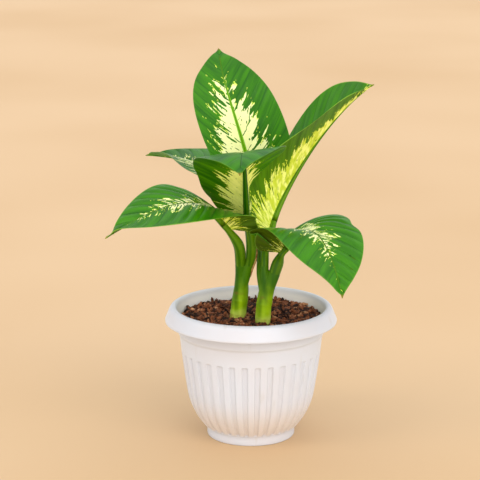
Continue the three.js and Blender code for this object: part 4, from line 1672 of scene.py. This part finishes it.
LEAVES = (
    Leaf(
        "blade_back", "leaf_back", "stem_right",
        midrib=((3, 37, 228), (-3, 31, 282), (-27, 33, 330), (-32, 95, 365)),
        facing=((0.1, -1, 0.3), (0, -1, 0.3), (0, -1, 0.3)),
        half_width=47,
        left=Half(
            fold=(50, 27, 2), curl=(27, -4), narrow=0, ribs=0.22,
            pale=(
                (0, 20), (0.15, 27), (0.35, 34), (0.5, 38), (0.62, 36), (0.7, 30), (0.78, 19), (0.84, 9),
                (0.9, -4), (0.95, -20), (1, -28),
            ),
        ),
        right=Half(
            fold=(34, 13, 1), curl=(3, -5), narrow=0.5, ribs=0.22,
            pale=(
                (0, 14), (0.2, 24), (0.35, 31), (0.5, 34), (0.6, 31), (0.68, 25), (0.75, 16), (0.82, 6),
                (0.88, -6), (0.94, -20), (1, -28),
            ),
        ),
        stalk=((12, -13, 146), (9.3, -9, 161), (9.2, -1, 174), (7.0, 13, 188), (4.2, 29, 204), (3, 38, 217)),
        tone=0.48, feather=8.5, rib_width=1.25, pale_edge=0.1, seed=1.0,
    ),
    Leaf(
        "blade_right", "leaf_right", "stem_right",
        midrib=((16.3, 0.5, 202.5), (24.6, 36, 229), (73, 49, 307), (115, 0, 344)),
        facing=((-0.6, 0.5, 0.5), (-0.5, -0.1, 0.3), (-0.6, -0.1, 0.9)),
        half_width=46,
        left=Half(
            fold=(35, 27, 32), curl=(7, -2), narrow=0.97, ribs=0.2, slim=(-0.3, 0.78, 0.18),
            pale=((0, 14), (0.3, 18), (0.5, 14), (0.7, 6), (0.85, -2), (1, -8)),
        ),
        right=Half(
            fold=(39, 30, 34), curl=(9, -6), narrow=0.08, ribs=0.25,
            pale=(
                (0, 13), (0.15, 18), (0.3, 25), (0.45, 31), (0.58, 31), (0.68, 27), (0.8, 19), (0.88, 11),
                (0.95, 3), (1, -3),
            ),
        ),
        stalk=((13.6, -15, 146), (12.7, -14, 162), (13, -12, 175), (13.4, -7, 187), (15, -3, 195)),
        tone=0.6, feather=6.5, pale_edge=0.5, keel_tone=0.35, shade=0.4, seed=2.0,
    ),
    Leaf(
        "blade_front", "leaf_front", "stem_left",
        midrib=((-4.2, -24, 224), (-6, -40, 252), (-7, -73, 326), (-11, -144, 286)),
        facing=((0, 1.1, 0.1), (0, 0.6, 0.6), (-0.2, -0.1, 1)),
        half_width=49,
        left=Half(
            fold=(48, -6, 6), curl=(16, -26), narrow=0.85, ribs=0.2, slim=(0.9, 0.18, 0.24),
            pale=((0, 8), (0.2, 13), (0.3, 19), (0.4, 25), (0.5, 28), (0.62, 12), (0.72, -12), (1, -26)),
        ),
        right=Half(
            fold=(42, 0, 5), curl=(-12, -20), narrow=0, ribs=0.2, slim=(0.06, 0.22, 0.12),
            pale=((0, 22), (0.3, 30), (0.5, 29), (0.62, 14), (0.72, -12), (1, -26)),
        ),
        stalk=((-9, -2, 146), (-4.2, -4, 162), (-0.6, -8, 176), (0.5, -14.5, 190), (-0.8, -19.5, 206)),
        stalk_radius=4.5, tone=0.42, feather=7.5, fine=0.95, rib_light=0.3, pale_edge=0.15, keel_tone=0.0,
        seed=3.0,
    ),
    Leaf(
        "blade_upper_left", "leaf_upper_left", "stem_left",
        midrib=((-12, 50, 238), (-31, 88, 244), (-55, 125, 251), (-108, 162, 245)),
        facing=((0, -0.2, 1), (0, 0, 1), (-0.1, -0.2, 1)),
        half_width=40,
        left=Half(
            fold=(11, 10, 42), curl=(3, 6), narrow=0.3, ribs=0.4,
            pale=((0, 20), (0.3, 32), (0.6, 32), (0.74, 22), (0.84, 7), (0.9, -10), (1, -22)),
        ),
        right=Half(
            fold=(9, 10, 4), curl=(0, 2), narrow=0.3, ribs=0.7,
            pale=((0, 2), (0.3, 6), (0.6, 5), (0.8, -3), (1, -8)),
        ),
        stalk=((-10, 3, 146), (-4.5, 8, 162), (-1.2, 15, 176), (-1.6, 28, 192), (-5, 40, 210)),
        tone=0.45, feather=11.0, rib_light=0.5, pale_edge=0.2, fine=1.5, shade=0.15, seed=4.0,
    ),
    Leaf(
        "blade_lower_left", "leaf_lower_left", "stem_left",
        midrib=((-19, -19, 209), (-37, -24, 228), (-49, -61, 268), (-133, -96, 218)),
        facing=((0.1, 0, 0.9), (0.2, -0.5, 1), (0, 0.2, 0.3)),
        half_width=42,
        left=Half(
            fold=(45, -13, 12), curl=(-18, -7), narrow=0, ribs=0.6,
            pale=(
                (0, 10), (0.2, 13), (0.45, 16), (0.6, 15), (0.72, 12), (0.8, 6), (0.87, -3), (0.93, -12),
                (1, -20),
            ),
        ),
        right=Half(
            fold=(24, -10, 15), curl=(-24, -4), narrow=0.5, ribs=1.1,
            pale=((0, 8), (0.3, 10), (0.5, 12), (0.65, 11), (0.75, 8), (0.82, 2), (0.9, -8), (1, -18)),
        ),
        stalk=((-10.6, -1, 146), (-9.9, -2, 160), (-10.1, -5, 173), (-11.9, -12, 191)),
        stalk_radius=5.2, tone=0.5, feather=9.0, rib_width=0.5, rib_light=0.2, pale_edge=0.5,
        fine=1.5, shade=0.6, retreat=3.0, seed=5.0,
    ),
    Leaf(
        "blade_lower_right", "leaf_lower_right", "stem_right",
        midrib=((27, -14, 185), (37, -14, 193), (62, -39, 253), (82, -115, 167)),
        facing=((0, 0.1, 0.8), (0.1, -0.6, 0.9), (0.3, -0.6, 0.7)),
        half_width=45,
        left=Half(
            fold=(38, -17, 16), curl=(-15, -11), narrow=0.8, ribs=1.2, slim=(0.09, 0.42, 0.05),
            pale=((0, 12), (0.25, 16), (0.45, 18), (0.6, 13), (0.7, 8), (0.79, 1), (0.87, -8), (1, -22)),
        ),
        right=Half(
            fold=(48, -15, 18), curl=(-6, -8), narrow=0, ribs=0.6,
            pale=((0, 12), (0.25, 16), (0.45, 18), (0.6, 14), (0.7, 9), (0.8, 3), (0.88, -6), (1, -22)),
        ),
        stalk=((13.8, -16.5, 134), (16.8, -16.5, 149), (21.6, -16.2, 163), (25.6, -15.4, 175)),
        cut=166.0, stalk_radius=5.5, tone=0.52, feather=9.0, rib_width=0.5, rib_light=0.1,
        pale_edge=0.25, fine=1.9, shade=0.75, retreat=9.0, seed=6.0,
    ),
)


# ------------------------------------------------------------------ the shoots


@dataclass
class Shoot:
    """One cane with the sheathing stalks that grow out of it, fused into one skin.

    The cane lists [x, y, z, radius]. scars are the heights of its swollen rings, and swelling
    is how far they stand out and how far they fade in height. lip is how much wider a sheath
    gets towards its mouth, over lip_reach below it.
    """

    name: str
    node: str
    cane: tuple
    scars: tuple = (121.5, 134.5)
    swelling: tuple = (0.3, 1.1)
    lip: float = 0.15
    lip_reach: tuple = (22, 6)
    voxel: float = 0.55

    def cane_tube(self) -> Shell:
        """The cane: a tapered tube with a low swelling at each leaf scar.

        Returns:
            The tube.
        """
        line = centripetal(np.array(self.cane, float), 90, keep=len(self.cane) - 1)
        out, fade = self.swelling
        swell = sum(out * np.exp(-(((line[:, 2] - z) / fade) ** 2)) for z in self.scars)
        return tube(line[:, :3], line[:, 3] + swell, 40)

    def sheath_tubes(self) -> list[Shell]:
        """The stalks up to where they leave their sheaths, each ending in a slightly wider lip.

        Returns:
            A tube for each leaf.
        """
        made = []
        for leaf in (leaf for leaf in LEAVES if leaf.stem == self.node):
            centres, radii = leaf.stalk_line()
            end = int(np.argmax(centres[:, 2] > leaf.cut))
            low, high = (leaf.cut - below for below in self.lip_reach)
            wider = self.lip * ease(low, high, centres[:end, 2])
            made.append(tube(centres[:end], radii[:end] + wider, 28))
        return made

    def build(self, finish: Material) -> Piece:
        """Makes the shoot, fuses its tubes into one skin and dresses it.

        Args:
            finish: the cane's material.

        Returns:
            The shoot.
        """
        piece = make_piece(self.name, [self.cane_tube(), *self.sheath_tubes()], [finish])
        fuse = piece.modifiers.new("fuse", "REMESH")
        fuse.mode = "VOXEL"
        fuse.voxel_size = self.voxel * MM
        fuse.use_smooth_shade = True
        even = piece.modifiers.new("even", "SMOOTH")
        even.factor, even.iterations = 0.5, 6
        bake_modifiers(piece)
        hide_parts(self.node)
        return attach(piece, BODY)


SHOOTS = (
    Shoot(
        "shoot_left", "stem_left",
        cane=(
            (-17, 1, 78, 6.6), (-13, 0.5, 115.5, 7.6), (-9.4, 0, 145, 7.2), (-8.2, -1, 157, 5.0),
            (-7.6, -1.5, 166, 2.0),
        ),
    ),
    Shoot(
        "shoot_right", "stem_right",
        cane=(
            (8, -18, 78, 6.6), (11.0, -17, 115.5, 7.3), (12.4, -16, 137, 7.0), (13.2, -15, 149, 5.4),
            (13.4, -14.2, 158, 3.4), (13.4, -13.8, 165, 1.5),
        ),
    ),
)


@dataclass
class DryEdge:
    """The papery brown edge that peels off the left shoot's middle sheath, as a thin blade."""

    line: tuple = (
        (5.3, -10.5, 187.5), (5.0, -10, 182), (3.6, -9.5, 174.5), (1.3, -9, 167), (-0.4, -8.5, 159),
    )
    width: float = 1.25
    thickness: float = 0.3
    rings: int = 48
    sides: int = 16

    def build(self) -> Piece:
        """Makes the edge: a flat ellipse along a line, widest past its middle, and dresses it.

        Returns:
            The edge.
        """
        share = np.linspace(0, 1, self.rings)
        angle = round_angles(self.sides)
        width = (self.width * np.sin(np.pi * share**0.8) ** 0.8 + 0.08)[:, None]
        thin = np.minimum(width, self.thickness)
        radii = width * thin / np.hypot(thin * np.cos(angle), width * np.sin(angle))
        shell = tube(through(self.line, share), radii, self.sides)
        piece = make_piece("dry_sheath_edge", [shell], [PaperyFinish().material()])
        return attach(piece, BODY)


# ------------------------------------------------------------------ floor, light and camera


@dataclass(frozen=True)
class Lamp:
    """An even soft light from far away that shines on the plant.

    place is where it hangs, in metres, which gives its direction; spread is how wide it looks
    from the plant, in degrees, and power its strength, in watts per square metre.
    """

    name: str
    place: tuple
    spread: float
    power: float
    colour: tuple

    def build(self) -> None:
        """Makes the lamp, turned towards the middle of the plant."""
        data = bpy.data.lights.new(self.name, "SUN")
        data.angle, data.energy, data.color = math.radians(self.spread), self.power, self.colour[:3]
        lamp = new_object(self.name, data)
        lamp.location = self.place
        way = Vector((0, 0, 0.2)) - Vector(self.place)
        lamp.rotation_euler = way.to_track_quat("-Z", "Y").to_euler()


@dataclass
class Studio:
    """A plain pale floor, soft lights and the camera at the photograph's viewing angle.

    The camera's place and the floor's radius are in metres, its lens and sensor in millimetres
    and its pitch in degrees below the horizon.
    """

    lens: float = 146.25
    sensor: float = 36
    pitch: float = 13.43
    place: tuple = (-0.0106, -1.8156, 0.627)
    floor_radius: float = 8.0
    floor_sides: int = 64
    floor_colour: tuple = srgb(214, 182, 142)
    floor_shade: tuple = srgb(206, 172, 130)
    floor_bounce: tuple = srgb(236, 218, 194)
    sky_colour: tuple = srgb(248, 250, 255)
    sky_power: float = 0.88
    lamps: tuple = (
        Lamp("key", (1.1, -1.7, 1.7), 40, 0.8, srgb(255, 251, 248)),
        Lamp("side", (-1.4, -0.7, 1.5), 25, 0.45, srgb(255, 251, 248)),
        Lamp("front", (0.1, -2.2, 0.3), 60, 1.25, srgb(255, 251, 250)),
        Lamp("top", (0.1, -0.3, 2.2), 90, 0.9, srgb(246, 249, 255)),
    )

    def camera(self) -> None:
        """Makes the camera."""
        data = bpy.data.cameras.new("view_camera")
        data.lens, data.sensor_width = self.lens, self.sensor
        data.clip_start, data.clip_end = 0.05, 50
        camera = new_object("view_camera", data)
        camera.location = self.place
        camera.rotation_euler = (math.radians(90 - self.pitch), 0, 0)
        bpy.context.scene.camera = camera

    def floor(self) -> None:
        """Makes the floor: a wide flat disc, a little brighter to the light that it throws back."""
        ring = raised(polar(1.0, round_angles(self.floor_sides)), 0.0) * self.floor_radius / MM
        j = np.arange(self.floor_sides)
        fan = np.stack([np.full_like(j, self.floor_sides), j, (j + 1) % self.floor_sides], axis=1)
        shell = Shell(np.concatenate([ring, [[0, 0, 0]]]), np.zeros((0, 4), int), fan)
        material, tree, shader = new_material("floor_paint", Roughness=0.7, Specular_IOR_Level=0.2)
        # painted shade: broad soft patches darken the floor towards floor_shade
        patches = tree.step(tree.noise(tree.here(), 1.2), 0.3, 0.7)
        painted = tree.mix(patches, self.floor_colour, self.floor_shade)
        seen = tree.add("LightPath").outputs["Is Camera Ray"]
        tree.fill(shader, {"Base Color": tree.mix(seen, self.floor_bounce, painted)})
        floor = make_piece("floor", [shell], [material])

    def build(self) -> None:
        """Makes the camera, the floor, the lamps and the soft light all round."""
        self.camera()
        self.floor()
        for lamp in self.lamps:
            lamp.build()
        scene = bpy.context.scene
        scene.world = bpy.data.worlds.new("soft_room")
        scene.world.use_nodes = True
        back = scene.world.node_tree.nodes["Background"]
        back.inputs["Color"].default_value = self.sky_colour
        back.inputs["Strength"].default_value = self.sky_power
        scene.view_settings.view_transform = "Standard"
        LOG.info("studio: camera, floor and %d lamps", len(self.lamps))


# ------------------------------------------------------------------ the whole plant


def report(piece: Piece) -> None:
    """Logs a piece's name and size."""
    size = [round(d / MM, 1) for d in piece.dimensions]
    LOG.info("%s: %d faces, %s mm", piece.name, len(piece.data.polygons), size)


def main() -> None:
    """Builds the studio, the pot, the mix, the shoots and the leaves in that order."""
    logging.basicConfig(level=logging.INFO, format="%(name)s: %(message)s")
    build_feather_group()
    build_tissue_group()
    build_mottle_group()
    Studio().build()
    report(Pot().build())
    for piece in PottingMix().build():
        report(piece)
    cane_finish = CaneFinish().material()
    for shoot in SHOOTS:
        report(shoot.build(cane_finish))
    report(DryEdge().build())
    finishes = [UpperFinish().material(), UnderFinish().material(), StalkFinish().material()]
    for leaf in LEAVES:
        report(leaf.build(finishes))


if __name__ == "__main__":
    main()
